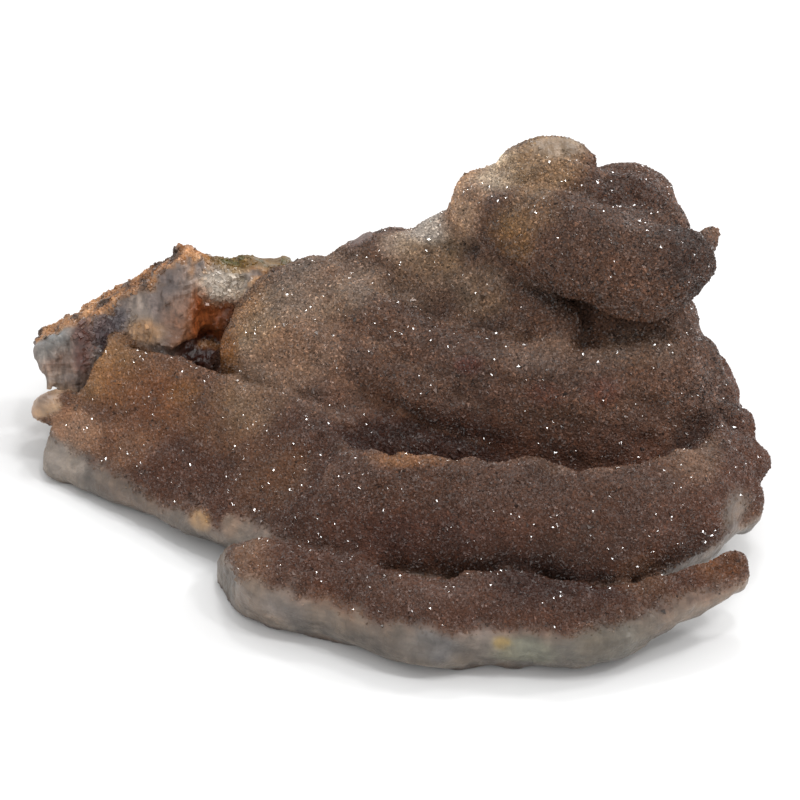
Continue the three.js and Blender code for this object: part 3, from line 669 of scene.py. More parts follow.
# Colours as seen, and stains over them: centre, reach, colour and strength. A few of the
# crust's stains are painted highlight and painted shade, marked where they stand.
CRUST = (80, 54, 44)
UPPER_CRUST = (85, 63, 53)
CRUST_STAINS_AND_PAINTED_LIGHT = [
    ((-46, 8, 15), (12, 9, 6), (157, 118, 82), 0.95),
    ((-39, -1, 14.5), (11, 9, 7), (121, 82, 55), 0.8),
    ((-44, -5, 9), (12, 6, 4), (146, 108, 84), 0.8),
    ((-51, 0, 8), (7, 6, 4), (161, 127, 106), 0.9),
    ((-27, -8, 16), (9, 9, 5), (126, 96, 73), 0.8),
    ((-22, -5, 18), (7, 9, 6), (135, 111, 92), 0.7),
    ((-19, -18, 13), (9, 8, 6), (105, 77, 59), 0.7),
    ((-21, 4, 26), (7, 10, 7), (148, 126, 104), 0.9),
    ((-13, 7, 30), (12, 13, 6), (126, 109, 99), 0.95),
    ((-13, -3, 25), (8, 6, 6), (129, 104, 90), 0.8),
    ((-3, -2, 27), (8, 6, 5), (101, 75, 62), 0.75),
    # Pale grey on the fourth fold's top: painted highlight.
    ((0, 13, 34.4), (4, 4, 3.4), (166, 152, 144), 0.9),
    ((5, 12, 33), (7, 7, 5), (140, 119, 96), 0.8),
    ((13, 5, 31), (7, 6, 5), (136, 114, 96), 0.8),
    ((2, 8, 31), (8, 6, 5), (124, 102, 86), 0.75),
    ((22, 4, 31), (9, 6, 5), (108, 88, 78), 0.6),
    # Pale grey on the back fold's top: painted highlight.
    ((4.5, 15.5, 36), (5, 5, 3), (182, 178, 180), 0.95),
    ((10, 13, 42), (5, 8, 8), (179, 149, 126), 0.95),
    ((16, 14, 46), (6, 6, 5), (206, 192, 176), 0.95),
    ((17, 3, 42), (5, 6, 5), (122, 96, 65), 0.8),
    ((20, 4, 46), (6, 6, 4), (126, 102, 82), 0.7),
    ((1, -25.8, 22), (9, 2.8, 2), (128, 88, 56), 0.75),
    ((1.5, -30.4, 19.8), (8, 3, 2.2), (84, 52, 30), 0.6),
    ((1.5, -31, 19), (9, 5, 4), (76, 50, 38), 0.8),
    # Dark in the second trough: partly reddish deposit, partly painted shade.
    ((3, -16.4, 17), (16, 6.6, 6), (48, 25, 17), 0.9),
    ((22, -42, 12), (13, 6, 5), (52, 30, 23), 0.85),
    ((35, -41, 11), (5, 5, 4), (104, 74, 54), 0.7),
    ((22, 12, 47), (8, 7, 6), (145, 118, 92), 0.85),
    ((34, 11, 45.4), (10, 7, 4.6), (60, 38, 28), 0.85),
    ((43, -2, 40.5), (8, 8, 8), (52, 35, 28), 0.75),
    ((-17, -3, 22), (10, 7, 7), (134, 110, 96), 0.8),
    ((-8, -9, 21), (7, 5, 5), (116, 88, 75), 0.7),
    ((24, -9, 29), (12, 5, 3), (120, 100, 91), 0.75),
    ((36, -8, 29), (8, 5, 3), (104, 86, 76), 0.6),
    ((10, -10.5, 27.5), (3, 2, 1.6), (84, 48, 42), 0.7),
    ((22, -15, 25.4), (4, 3, 2), (88, 54, 46), 0.6),
    ((30, -15.4, 26), (4, 3, 2.4), (86, 52, 43), 0.6),
    ((15, -13.5, 24), (6, 4, 3), (98, 74, 66), 0.6),
    ((-26.4, 3, 20), (4, 5, 4), (132, 88, 46), 0.8),
    ((-24, 8, 25), (4, 6, 6), (140, 108, 82), 0.6),
    ((-33, -2, 16.6), (4, 3, 2), (132, 92, 52), 0.5),
    ((-40, -2.6, 12), (5, 3, 3), (92, 62, 48), 0.5),
    ((46, -39, 13), (5, 5, 3), (98, 61, 36), 0.9),
    ((-22, -34, 9), (5, 6, 4), (142, 115, 98), 0.7),
    ((3, -44, 12), (14, 5, 3), (105, 79, 69), 0.5),
    ((42, -22, 20), (7, 9, 4), (118, 94, 79), 0.7),
    ((30, -18, 16), (16, 8, 6), (90, 62, 52), 0.4),
    # Dark in the first trough: partly reddish deposit, partly painted shade.
    ((7, -34, 14), (20, 6, 5), (66, 41, 34), 0.7),
    ((28, -38, 15), (10, 5, 4), (74, 54, 46), 0.6),
]

BARE = (118, 103, 92)
BARE_STAINS = [
    ((23, 16, 50), (9, 6, 4), (118, 99, 79), 1),
    ((-54, 5, 8.5), (5, 5, 4), (165, 133, 101), 1),
    ((50, -27, 12), (6, 6, 5), (87, 73, 63), 0.9),
    ((41, -43, 9), (8, 5, 4), (76, 62, 53), 0.8),
    ((-4, 15, 31), (7, 5, 5), (86, 68, 64), 0.9),
]

# Layers of the broken front band, from the crust's edge down: share of the height, colour.
BAND_AT = (0, 0.06, 0.2, 0.5, 0.8, 0.93, 1)
BAND_COLOURS = (
    (104, 80, 66), (120, 100, 86), (114, 100, 88), (98, 87, 77), (118, 108, 98),
    (94, 76, 63), (76, 56, 44),
)
BAND_STAINS = [
    ((-54, -2, 4), (9, 6, 6), (134, 123, 113), 0.9),
    ((-42, -12, 4), (9, 7, 4), (102, 84, 70), 0.7),
    ((-30.2, -20.4, 6), (2.4, 3, 1.8), (176, 138, 92), 1),
    ((-25.6, -22.8, 7), (1.8, 3, 1.8), (118, 98, 82), 1),
    ((-34.5, -18, 1.5), (2, 3, 1.6), (59, 43, 35), 0.9),
    ((-20, -38, 5), (9, 6, 5), (116, 103, 93), 0.8),
    ((4, -50, 6), (6, 4, 3), (94, 90, 88), 0.9),
    ((18, -50, 5), (6, 4, 3), (111, 108, 91), 0.9),
    ((14.5, -50, 6.4), (1.6, 3, 1), (134, 110, 61), 0.7),
    ((30, -50, 6), (10, 5, 5), (97, 91, 81), 0.8),
]
BAND_RAGGED = 0.05

# The band's own mottling: brightness without it, then soft clouds, then marks that are
# narrow across and long upwards.
BAND_BRIGHTNESS = 0.92
BAND_CLOUDS = 0.09
BAND_MARKS = 0.08
UPRIGHT = [[1.6], [1.6], [0.6]]


def band_colours(p):
    """The layered stone of the broken front, below the crust's edge."""
    edge = bare_edge(p)
    share = np.clip(1 - p[2] / edge + BAND_RAGGED * noise(p, 2, 13), 0, 1)
    rows = [np.interp(share, BAND_AT, [c[i] for c in BAND_COLOURS]) for i in range(3)]
    soft = BAND_BRIGHTNESS + BAND_CLOUDS * noise(p, 3.4, 34)
    mottle = soft + BAND_MARKS * noise(p * UPRIGHT, 1.6, 35)
    return stained(np.stack(rows) * mottle, p, BAND_STAINS, 33)


# Agate layers in the broken back, by depth from the grown skin.
LAYER_COLOURS = [(150, 132, 118), (118, 98, 90), (136, 122, 116), (168, 150, 132), (124, 108, 104)]
LAYER_THICK = 1.7
LAYER_UNEVEN = ((0.5, 6), (0.25, 2))
PEAK_STAINS_AND_SHADE = [
    ((-55, 12, 17), (4, 8, 5), (110, 108, 106), 1),
    ((-53, 11, 12), (4.4, 6, 5), (112, 92, 82), 1),
    ((-49.8, 11, 16), (1.9, 6, 7), (84, 52, 44), 1),
    ((-46.2, 11.5, 18.5), (2.8, 5, 4.6), (66, 52, 54), 1),
    ((-43.6, 11.5, 20), (2.2, 5, 4), (92, 84, 86), 0.9),
    ((-40.5, 11, 22), (2.6, 5, 4), (138, 124, 114), 1),
    ((-36, 11.5, 26), (4, 6, 6), (106, 92, 87), 0.9),
    ((-33.6, 10, 21), (4.4, 5, 6), (110, 74, 52), 0.9),
    ((-29, 12.5, 23), (5.5, 5, 5), (114, 56, 24), 1),
    ((-30.5, 12.5, 18.5), (5, 5, 5), (134, 72, 36), 1),
    # Dark red-brown in the carved hole: partly rust, partly painted shade.
    ((-32, 11, 14.5), (4.4, 6, 4), (48, 13, 3), 1),
    ((-39, 11, 19.6), (4.5, 3.4, 2.4), (148, 114, 82), 1),
]

# The peak's colours: its broken front, the rind on top, the pale strip and the moss.
PEAK_GREY = (116, 102, 94)
RIND = (140, 98, 62)
RIND_PALE = (172, 126, 84)
RIND_DARK = (70, 50, 36)
STRIP = (174, 160, 144)
STRIP_BALL = ((-27.6, 14.3, 25.8), (5.6, 2.8, 4))
MOSS = (92, 66, 22)
MOSS_DARK = (66, 58, 14)


def layer_colours(p, depth):
    """The broken back's layers: each follows the grown skin at its own depth."""
    uneven = depth + mixed(noise, p, 51, LAYER_UNEVEN)
    at = uneven / LAYER_THICK % len(LAYER_COLOURS)
    steps = np.arange(len(LAYER_COLOURS) + 1)
    closed = LAYER_COLOURS + LAYER_COLOURS[:1]
    return np.stack([np.interp(at, steps, [c[i] for c in closed]) for i in range(3)])


def peak_side(p):
    return step(-14, -20, p[0]) * step(4, 8, p[1])


def peak_colours(p, n, colours):
    """The broken peak: grey front, orange-brown rind on top, pale rough strip and moss."""
    near = peak_side(p) * step(11, 14, p[2])
    peak = stained(laid_over(colours, 1, PEAK_GREY), p, PEAK_STAINS_AND_SHADE, 61)
    top = step(0.35, 0.62, n[2] + 0.12 * noise(p, 1.4, 62)) * step(12.2, 13.6, p[1])
    mottle = noise(p, 1.6, 63)
    peak = laid_over(peak, top, RIND)
    peak = laid_over(peak, top * step(0.1, 0.6, mottle), RIND_PALE)
    peak = laid_over(peak, top * step(-0.1, -0.6, mottle), RIND_DARK)
    peak = laid_over(peak, ball(p, *STRIP_BALL), STRIP)
    moss = step(-31, -28, p[0]) * step(15, 16.4, p[1]) * step(22, 25, p[2])
    peak = laid_over(peak, moss, MOSS)
    peak = laid_over(peak, moss * step(0, 0.5, noise(p, 1.3, 64)), MOSS_DARK)
    return colours + (peak - colours) * near


# Painted shade in hollows, and a paler tan on crests that is partly the rims' own tint and
# partly painted highlight. Both are felt for FEEL_REACH outside and inside the skin. Level
# tops get painted shade too.
FEEL_REACH = 2.4
HOLLOW_SHADE_FADE = (0.15, 0.8)
HOLLOW_PAINTED_SHADE = 0.14
CREST_HIGHLIGHT_FADE = (0.12, 0.6)
CREST_TAN_AND_HIGHLIGHT = (136, 106, 84)
CREST_HIGHLIGHT_SHARE = 0.22
CREST_HIGHLIGHT_PATCHES = 0.15
UPPER_CRUST_FADE = (15, 25)
LEVEL_SHADE_FADE = (0.5, 0.95)
LEVEL_PAINTED_SHADE = 0.12
IRON_CAST = np.array([[0.98], [0.945], [0.885]])


def crust_colours(p, n):
    """The crust: stained, with painted shade in hollows and on level tops, and crests paler: partly
    their tan, partly painted highlight.
    """
    hollow_shade = step(*HOLLOW_SHADE_FADE, 1 - stone(p + FEEL_REACH * n) / FEEL_REACH)
    crest = step(*CREST_HIGHLIGHT_FADE, 1 + stone(p - FEEL_REACH * n) / FEEL_REACH)
    colours = np.ones((3, p.shape[1])) * np.array(CRUST)[:, None]
    colours = laid_over(colours, step(*UPPER_CRUST_FADE, p[2]), UPPER_CRUST)
    colours = stained(colours, p, CRUST_STAINS_AND_PAINTED_LIGHT, 21) * IRON_CAST
    # Painted shade: darker on level tops and in hollows.
    colours = colours * (1 - LEVEL_PAINTED_SHADE * step(*LEVEL_SHADE_FADE, n[2]) - HOLLOW_PAINTED_SHADE * hollow_shade)
    # Crests: partly the rims' own tan, partly painted highlight.
    return laid_over(colours, crest * (CREST_HIGHLIGHT_SHARE + CREST_HIGHLIGHT_PATCHES * noise(p, 4, 23)), CREST_TAN_AND_HIGHLIGHT)


BARE_OVER_LAYERS = 0.35
BAND_DEPTHS = (1.6, 0.8)
BAND_TOP = (12, 9)


def bare_colours(p, n, depth):
    """Stone without crust: the layered back, the peak and the front band."""
    colours = laid_over(layer_colours(p, depth), BARE_OVER_LAYERS, BARE)
    colours = peak_colours(p, n, colours)
    colours = stained(colours, p, BARE_STAINS, 31)
    in_band = front_share(p) * step(*BAND_DEPTHS, np.abs(depth)) * step(*BAND_TOP, p[2])
    return colours + (band_colours(p) - colours) * in_band


# Noise over the whole skin: one in brightness, one that adds red and takes blue away.
SHADE_PATCHES = ((0.07, 7), (0.08, 2.4), (0.05, 1.2))
WARM_PATCHES = ((0.5, 9), (0.5, 3))
WARMTH = np.array([[0.05], [0.0], [-0.07]])


def skin_tint(p, n, depth, covered):
    bare = bare_colours(p, n, depth)
    colours = bare + (crust_colours(p, n) - bare) * covered
    colours = colours * (1 + mixed(noise, p, 41, SHADE_PATCHES))
    colours = colours * (1 + WARMTH * mixed(noise, p, 44, WARM_PATCHES))
    return seen(*np.clip(colours, 0, 255)).T


# The skin's places and ways up, in rows.
skin_rows = body_points.T.astype(np.float32)
skin_ups = body_ups.T
grown_skin = upper_folds(ledges(skin_rows), skin_rows)
skin_depth = grown_skin - WAVE_HEIGHT * waves(skin_rows) - grown_relief(skin_rows)
crust = crust_share(skin_rows, skin_depth)
tint = skin_tint(skin_rows, skin_ups, skin_depth, crust)
peak_front = peak_side(skin_rows) * step(20, 16, skin_rows[1])
paint(stone_skin, tint)
mark(stone_skin, "crust", crust)
mark(stone_skin, "broken", (1 - crust) * peak_front * step(0.6, 0.3, skin_ups[2]))


# The crust: small pyramids of quartz, three faces each, thick over the grown skin. A width
# is from the middle to a corner in millimetres, and heights are shares of it.
CRUST_PARTS = ("crust_left", "crust_front", "crust_middle", "crust_folds", "crust_knob")
CRYSTALS = 252000
CRYSTAL_WIDTH = 0.27
WIDTH_SPREAD = 0.25
BIG_SHARE = 0.03
BIG_WIDTH = 1.4
CRYSTAL_HEIGHTS = (0.4, 0.75)
CRYSTAL_LEAN = 0.24
CRYSTAL_SUNK = 0.12
CORNER_TURN = 0.2
CORNER_REACH = (0.85, 1.15)

# Where the crust is parted, so that no piece is too big.
LEFT_END = -10
FRONT_END = -20
FOLDS_FROM = 24
KNOB_FROM = 34

# How much crystals differ in brightness, more so in the upper crust. Dark specks among
# them are thick on the knob and the right edge.
LIGHT_SPREAD = 0.17
UPPER_SPREAD = 0.18
UPPER_FADE = (13, 27)
SPECK_SHARE = 0.02
THICK_SHARE = 0.16
SPECK_LIGHT = 0.3
SPECK_BALLS = [((36, 2, 38), (17, 16, 12)), ((46, -6, 20), (9, 16, 10))]

# Half of the crystals are clear enough to glint. The others are duller.
GLOSSY_SHARE = 0.5
DULL_GLOSS = 0.1


def specked(p):
    return np.clip(sum(ball(p, *place) for place in SPECK_BALLS), 0, 1)


def spots(count, rng, share):
    """Places spread over the skin where share is high, with the way up and the colour."""
    triangles = np.vstack([body_faces[:, [0, 1, 2]], body_faces[:, [0, 2, 3]]])
    a, b, c = (body_points[triangles[:, i]] for i in range(3))
    area = np.linalg.norm(np.cross(b - a, c - a), axis=1) / 2
    weight = area * share[triangles].mean(1)
    at = triangles[rng.choice(len(triangles), count, p=weight / weight.sum())]
    u, v = rng.rand(2, count)
    flip = u + v > 1
    u[flip], v[flip] = 1 - u[flip], 1 - v[flip]
    shares = np.stack([1 - u - v, u, v], 1)[:, :, None]
    return [(values[at] * shares).sum(1) for values in (body_points, body_ups, tint)]


def leaning(rng, ups, amount):
    """Ways up that lean by chance, each with two directions square to it."""
    lean = ups + rng.normal(0, amount, ups.shape)
    lean /= np.linalg.norm(lean, axis=1)[:, None]
    side = np.cross(lean, rng.normal(0, 1, lean.shape))
    side /= np.linalg.norm(side, axis=1)[:, None]
    return lean, side, np.cross(lean, side)


def pyramids(rng, points, ups, width, height):
    count = len(points)
    lean, side, other = leaning(rng, ups, CRYSTAL_LEAN)
    foot = points - CRYSTAL_SUNK * height[:, None] * lean
    corners = []
    for turn in (0, 120, 240):
        angle = math.radians(turn) + rng.normal(0, CORNER_TURN, count)[:, None]
        reach = (width * rng.uniform(*CORNER_REACH, count))[:, None]
        corners.append(foot + reach * (np.cos(angle) * side + np.sin(angle) * other))
    corners.append(points + height[:, None] * lean)
    first = 4 * np.arange(count)[:, None, None]
    faces = first + np.array([[0, 1, 3], [1, 2, 3], [2, 0, 3]])
    return np.stack(corners, 1).reshape(-1, 3), faces.reshape(-1, 3)


def crust_piece(name, rng, points, ups, colours):
    count = len(points)
    width = CRYSTAL_WIDTH * np.exp(rng.normal(0, WIDTH_SPREAD, count))
    width[rng.rand(count) < BIG_SHARE] *= BIG_WIDTH
    height = width * rng.uniform(*CRYSTAL_HEIGHTS, count)
    piece = new_piece(name, *pyramids(rng, points, ups, width, height), False)
    differing = LIGHT_SPREAD + UPPER_SPREAD * step(*UPPER_FADE, points[:, 2])
    light = np.exp(differing * rng.normal(0, 1, count))
    light[rng.rand(count) < SPECK_SHARE + THICK_SHARE * specked(points.T)] *= SPECK_LIGHT
    paint(piece, np.repeat(np.clip(colours * light[:, None], 0, 1), 4, 0))
    mark(piece, "skin_normal", np.repeat(ups, 4, 0), "FLOAT_VECTOR", "vector")
    mark(piece, "gloss", np.repeat(np.where(rng.rand(count) < GLOSSY_SHARE, 1, DULL_GLOSS), 4))
    return piece


def whole_crust():
    rng = np.random.RandomState(7)
    places, ups, colours = spots(CRYSTALS, rng, crust)
    x, y, z = places.T
    low = np.where(x < LEFT_END, 0, np.where(y < FRONT_END, 1, 2))
    region = np.where(z > KNOB_FROM, 4, np.where(z > FOLDS_FROM, 3, low))
    pieces = []
    for number, name in enumerate(CRUST_PARTS):
        mine = region == number
        pieces.append(crust_piece(name, rng, places[mine], ups[mine], colours[mine]))
    return pieces


# Broken quartz on the peak: blunt blocks that stand a little out of the face, and small
# rusty ones in the rind. A size is half a width in millimetres, times SIZE_RANGE.
BLOCKS = 420
BLOCK_SIZE = 0.4
RIND_BLOCKS = 2900
RIND_BLOCK_SIZE = 0.3
SIZE_RANGE = (0.5, 1.3)
BLOCK_LEAN = 0.4
BLOCK_SUNK = 0.82
BLOCK_TAPER = 0.8
BLOCK_LIGHT = 1.1
BLOCK_SPREAD = 0.16
BLOCK_CORNERS = np.array([(x, y, z) for z in (-1, 1) for y in (-1, 1) for x in (-1, 1)])
BLOCK_FACES = np.array([
    (0, 2, 3, 1), (4, 5, 7, 6), (0, 1, 5, 4), (2, 6, 7, 3), (0, 4, 6, 2), (1, 3, 7, 5),
])
ROUGH_BALLS = [((-46, 11, 18.6), (6, 6, 6)), ((-26.6, 14.3, 25), (6, 3, 4))]


def blocks(rng, points, ups, size):
    count = len(points)
    lean, side, other = leaning(rng, ups, BLOCK_LEAN)
    half = size * rng.uniform(*SIZE_RANGE, (3, count, 1))
    middle = points - BLOCK_SUNK * half[2] * lean
    corners = []
    for x, y, z in BLOCK_CORNERS:
        narrow = BLOCK_TAPER if z > 0 else 1
        flat = narrow * (x * half[0] * side + y * half[1] * other)
        corners.append(middle + flat + z * half[2] * lean)
    faces = 8 * np.arange(count)[:, None, None] + BLOCK_FACES
    return np.stack(corners, 1).reshape(-1, 3), faces.reshape(-1, 4)


def peak_crystals(p, n):
    rng = np.random.RandomState(8)
    on_peak = (1 - crust) * step(-22, -27, p[0]) * step(4, 7, p[1]) * step(11, 13, p[2])
    top = step(0.45, 0.65, n[2]) * step(12.6, 13.6, p[1])
    rough = sum(ball(p, *place) for place in ROUGH_BALLS)
    wanted = ((BLOCKS, BLOCK_SIZE, rough * (1 - top)), (RIND_BLOCKS, RIND_BLOCK_SIZE, top))
    parts = []
    for count, size, share in wanted:
        places, ups, colours = spots(count, rng, on_peak * share)
        light = BLOCK_LIGHT * np.exp(rng.normal(0, BLOCK_SPREAD, (count, 1)))
        parts.append(blocks(rng, places, ups, size) + (colours * light,))
    points = np.vstack([part[0] for part in parts])
    faces = np.vstack([parts[0][1], parts[1][1] + 8 * BLOCKS])
    colours = np.vstack([part[2] for part in parts])
    piece = new_piece("peak_crystals", points, faces, False)
    paint(piece, np.repeat(np.clip(colours, 0, 1), 8, 0))
    return piece


crusts = whole_crust()
peak_blocks = peak_crystals(skin_rows, skin_ups)

# Finishes. Scales are bumps or cells in a metre, and shades multiply the colour. Clouds
# are a scale, a detail, and the darkest and lightest shade.
QUARTZ_IOR = 1.54
NOISE_MIDDLE = (0.3, 0.7)
WHOLE = (0, 1)
LAYER_SCALE = 260
LAYER_STRETCH = (1, 1, 5)
LAYER_SHADES = (0.86, 1.14)
GRAIN_SCALE = 800
GRAIN_SHADES = (0.85, 1.15)
LINE_SCALE = 1500
LINE_STRETCH = (1, 1, 0.22)
LINE_MIDDLE = (0.36, 0.68)
LINE_SHADES = (0.72, 1.6)
SKIN_CLOUDS = (500, 5, 0.78, 1.2)
CRUST_CLOUDS = (2500, 1, 0.92, 1.08)
BROKEN_CLOUDS = (1800, 3, 0.85, 1.15)
SKIN_ROUGHNESS = (0.36, 0.8)
BUMP_HEIGHT = 0.0005
BUMP_CELL_SCALE = 650
BUMP_CELL_HEIGHTS = (0.7, 0)
BUMP_NOISE_SCALE = 1600
BUMP_NOISE_HEIGHTS = (0, 0.5)
FACET_SHARE = 0.6


def fill(tree, node, sockets):
    """Sets each socket to its value, or links it to another node's output."""
    for name, value in sockets.items():
        if isinstance(value, bpy.types.NodeSocket):
            tree.links.new(value, node.inputs[name])
        else:
            node.inputs[name].default_value = value


def new_node(tree, kind, output, sockets, **settings):
    node = tree.nodes.new(kind)
    for name, value in settings.items():
        setattr(node, name, value)
    fill(tree, node, sockets)
    return node.outputs[output]


def new_material(name):
    material = bpy.data.materials.new(name)
    material.use_nodes = True
    tree = material.node_tree
    tree.nodes.clear()
    shader = tree.nodes.new("ShaderNodeBsdfPrincipled")
    output = tree.nodes.new("ShaderNodeOutputMaterial")
    tree.links.new(shader.outputs["BSDF"], output.inputs["Surface"])
    return material, tree, shader


def attribute(tree, name, output):
    return new_node(tree, "ShaderNodeAttribute", output, {}, attribute_name=name)


def place_in(tree, stretch):
    place = new_node(tree, "ShaderNodeTexCoord", "Object", {})
    return new_node(tree, "ShaderNodeMapping", "Vector", {"Vector": place, "Scale": stretch})


def noise_node(tree, scale, detail, stretch=(1, 1, 1)):
    sockets = {"Vector": place_in(tree, stretch), "Scale": scale, "Detail": detail}
    return new_node(tree, "ShaderNodeTexNoise", "Fac", sockets)


def cells_node(tree, scale, output):
    """Blocky grains of stone: flat-sided heights, or a shade for each grain."""
    sockets = {"Vector": place_in(tree, (1, 1, 1)), "Scale": scale}
    return new_node(tree, "ShaderNodeTexVoronoi", output, sockets, distance="MANHATTAN")


def worked(tree, operation, a, b):
    return new_node(tree, "ShaderNodeMath", "Value", {0: a, 1: b}, operation=operation)


def mapped(tree, value, given, wanted):
    """A value moved from the given range to the wanted one."""
    sockets = {"Value": value, "From Min": given[0], "From Max": given[1]}
    sockets.update({"To Min": wanted[0], "To Max": wanted[1]})
    return new_node(tree, "ShaderNodeMapRange", "Result", sockets)


def scaled_colour(tree, colour, factor):
    sockets = {0: colour, "Scale": factor}
    return new_node(tree, "ShaderNodeVectorMath", "Vector", sockets, operation="SCALE")


def new_clouds():
    """Shader group: a colour made darker and lighter in small soft clouds."""
    group = bpy.data.node_groups.new("clouded_stone", "ShaderNodeTree")
    group.interface.new_socket("Tint", in_out="INPUT", socket_type="NodeSocketColor")
    for name in ("Cloud Scale", "Detail", "Darkest", "Lightest"):
        group.interface.new_socket(name, in_out="INPUT", socket_type="NodeSocketFloat")
    group.interface.new_socket("Colour", in_out="OUTPUT", socket_type="NodeSocketColor")
    given = group.nodes.new("NodeGroupInput").outputs
    place = new_node(group, "ShaderNodeTexCoord", "Object", {})
    sockets = {"Vector": place, "Scale": given["Cloud Scale"], "Detail": given["Detail"]}
    cloud = new_node(group, "ShaderNodeTexNoise", "Fac", sockets)
    shade = mapped(group, cloud, NOISE_MIDDLE, (given["Darkest"], given["Lightest"]))
    result = group.nodes.new("NodeGroupOutput")
    fill(group, result, {"Colour": scaled_colour(group, given["Tint"], shade)})
    return group


clouded_stone = new_clouds()


def clouded_tint(tree, scale, detail, darkest, lightest):
    sockets = {"Tint": attribute(tree, "tint", "Color"), "Cloud Scale": scale, "Detail": detail}
    sockets.update({"Darkest": darkest, "Lightest": lightest})
    return new_node(tree, "ShaderNodeGroup", "Colour", sockets, node_tree=clouded_stone)


def chalcedony():
    """The skin: thin level layers and grains everywhere, upright lines on the peak's front."""
    material, tree, shader = new_material("chalcedony")
    layers = noise_node(tree, LAYER_SCALE, 3, LAYER_STRETCH)
    layers = mapped(tree, layers, NOISE_MIDDLE, LAYER_SHADES)
    grains = mapped(tree, cells_node(tree, GRAIN_SCALE, "Color"), WHOLE, GRAIN_SHADES)
    lines = noise_node(tree, LINE_SCALE, 2, LINE_STRETCH)
    lines = mapped(tree, lines, LINE_MIDDLE, LINE_SHADES)
    lines = worked(tree, "POWER", lines, attribute(tree, "broken", "Fac"))
    shade = worked(tree, "MULTIPLY", worked(tree, "MULTIPLY", layers, grains), lines)
    cells = mapped(tree, cells_node(tree, BUMP_CELL_SCALE, "Distance"), WHOLE, BUMP_CELL_HEIGHTS)
    rough = mapped(tree, noise_node(tree, BUMP_NOISE_SCALE, 4), WHOLE, BUMP_NOISE_HEIGHTS)
    bump = {"Height": worked(tree, "ADD", cells, rough), "Distance": BUMP_HEIGHT, "Strength": 0.7}
    fill(tree, shader, {
        "Base Color": scaled_colour(tree, clouded_tint(tree, *SKIN_CLOUDS), shade),
        "Roughness": mapped(tree, attribute(tree, "crust", "Fac"), WHOLE, SKIN_ROUGHNESS),
        "IOR": QUARTZ_IOR,
        "Subsurface Weight": 0.2,
        "Subsurface Radius": (1.0, 0.75, 0.55),
        "Subsurface Scale": 0.001,
        "Normal": new_node(tree, "ShaderNodeBump", "Normal", bump),
    })
    return material


def soft_normal(tree, facet_share):
    """The crystal face's own normal, softened by the smooth skin's, since light spreads
    inside such small clear crystals."""
    skin_way = {"Vector": attribute(tree, "skin_normal", "Vector")}
    turned = new_node(
        tree, "ShaderNodeVectorTransform", "Vector", skin_way,
        vector_type="NORMAL", convert_from="OBJECT", convert_to="WORLD",
    )
    facet = new_node(tree, "ShaderNodeNewGeometry", "Normal", {})
    ways = {"Factor": facet_share, 4: turned, 5: facet}
    blend = new_node(tree, "ShaderNodeMix", 1, ways, data_type="VECTOR")
    return new_node(tree, "ShaderNodeVectorMath", "Vector", {0: blend}, operation="NORMALIZE")


def druse():
    """The crystals: satin quartz, with a clear coat on those that glint."""
    material, tree, shader = new_material("druse")
    fill(tree, shader, {
        "Base Color": clouded_tint(tree, *CRUST_CLOUDS),
        "Normal": soft_normal(tree, FACET_SHARE),
        "Roughness": 0.5,
        "IOR": QUARTZ_IOR,
        "Specular IOR Level": 0.1,
        "Coat Weight": attribute(tree, "gloss", "Fac"),
        "Coat Roughness": 0.06,
        "Coat IOR": QUARTZ_IOR,
    })
    return material


def broken_quartz():
    material, tree, shader = new_material("broken_quartz")
    colour = clouded_tint(tree, *BROKEN_CLOUDS)
    fill(tree, shader, {"Base Color": colour, "Roughness": 0.3, "IOR": QUARTZ_IOR})
    return material


stone_skin.data.materials.append(chalcedony())
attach(stone_skin, "root")
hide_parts("chalcedony_specimen")
peak_blocks.data.materials.append(broken_quartz())
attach(peak_blocks, "root")
finish = druse()
for piece in crusts:
    piece.data.materials.append(finish)
    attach(piece, "root")

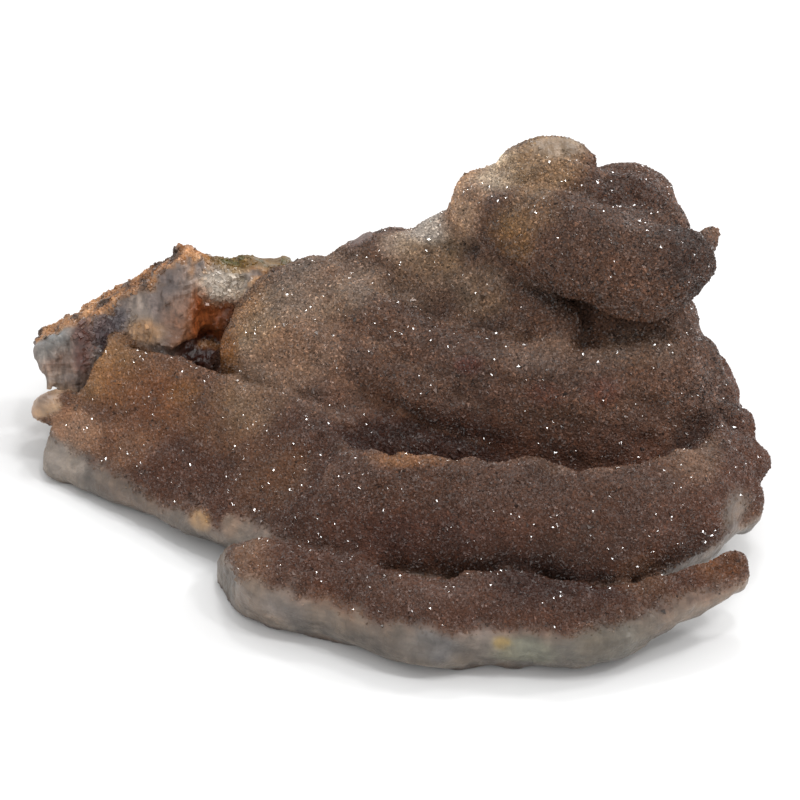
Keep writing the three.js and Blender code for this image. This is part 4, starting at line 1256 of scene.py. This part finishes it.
# Floor, light and camera, in metres. The key is a big soft lamp, and the sparks are small
# lamps that the crystal faces glint in.
FLOOR_HALF = 3.0
FLOOR_GAP = 0.0001
FLOOR_COLOUR = (0.71, 0.71, 0.71, 1)
SKY_STRENGTH = 1.0
KEY_PLACE = (0.35, 0.2, 0.65)
KEY_AIM = (0, 0, 0)
KEY_SIZE = 0.9
KEY_POWER = 1.8
SPARKS = [(0.15, -0.1, 0.7), (0.4, -0.15, 0.55), (0.1, 0.3, 0.65), (0.45, 0.15, 0.5)]
SPARK_AIM = (0, 0, 0.02)
SPARK_SIZE = 0.08
SPARK_POWER = 0.8
CAMERA_AIM = (0.0015, 0.0032, 0.018)
CAMERA_AWAY = 0.45
CAMERA_TILT = 35


def new_floor():
    mesh = bpy.data.meshes.new("floor")
    s = FLOOR_HALF
    mesh.from_pydata([(-s, -s, 0), (s, -s, 0), (s, s, 0), (-s, s, 0)], [], [(0, 1, 2, 3)])
    floor = new_object("floor", mesh)
    floor.location.z = -FLOOR_GAP
    material, tree, shader = new_material("floor")
    fill(tree, shader, {"Base Color": FLOOR_COLOUR, "Roughness": 0.9, "Specular IOR Level": 0.1})
    mesh.materials.append(material)


def new_light(name, place, aim, size, power):
    light = bpy.data.lights.new(name, "AREA")
    light.size = size
    light.energy = power
    lamp = new_object(name, light)
    lamp.location = place
    lamp.rotation_euler = (Vector(aim) - Vector(place)).to_track_quat("-Z", "Y").to_euler()


def new_world(strength):
    world = bpy.data.worlds.new("sky")
    world.use_nodes = True
    background = world.node_tree.nodes["Background"]
    fill(world.node_tree, background, {"Color": (1, 1, 1, 1), "Strength": strength})
    bpy.context.scene.world = world


def new_camera():
    tilt = math.radians(CAMERA_TILT)
    lens = bpy.data.cameras.new("camera")
    lens.sensor_width = 36
    lens.lens = 133.07
    lens.clip_start = 0.01
    camera = new_object("camera", lens)
    back = Vector((0, -math.cos(tilt), math.sin(tilt)))
    camera.location = Vector(CAMERA_AIM) + CAMERA_AWAY * back
    camera.rotation_euler = (-back).to_track_quat("-Z", "Y").to_euler()
    bpy.context.scene.camera = camera


new_floor()
new_world(SKY_STRENGTH)
new_light("key", KEY_PLACE, KEY_AIM, KEY_SIZE, KEY_POWER)
for number, place in enumerate(SPARKS):
    new_light(f"spark_{number}", place, SPARK_AIM, SPARK_SIZE, SPARK_POWER)
new_camera()
bpy.context.scene.view_settings.view_transform = "Standard"
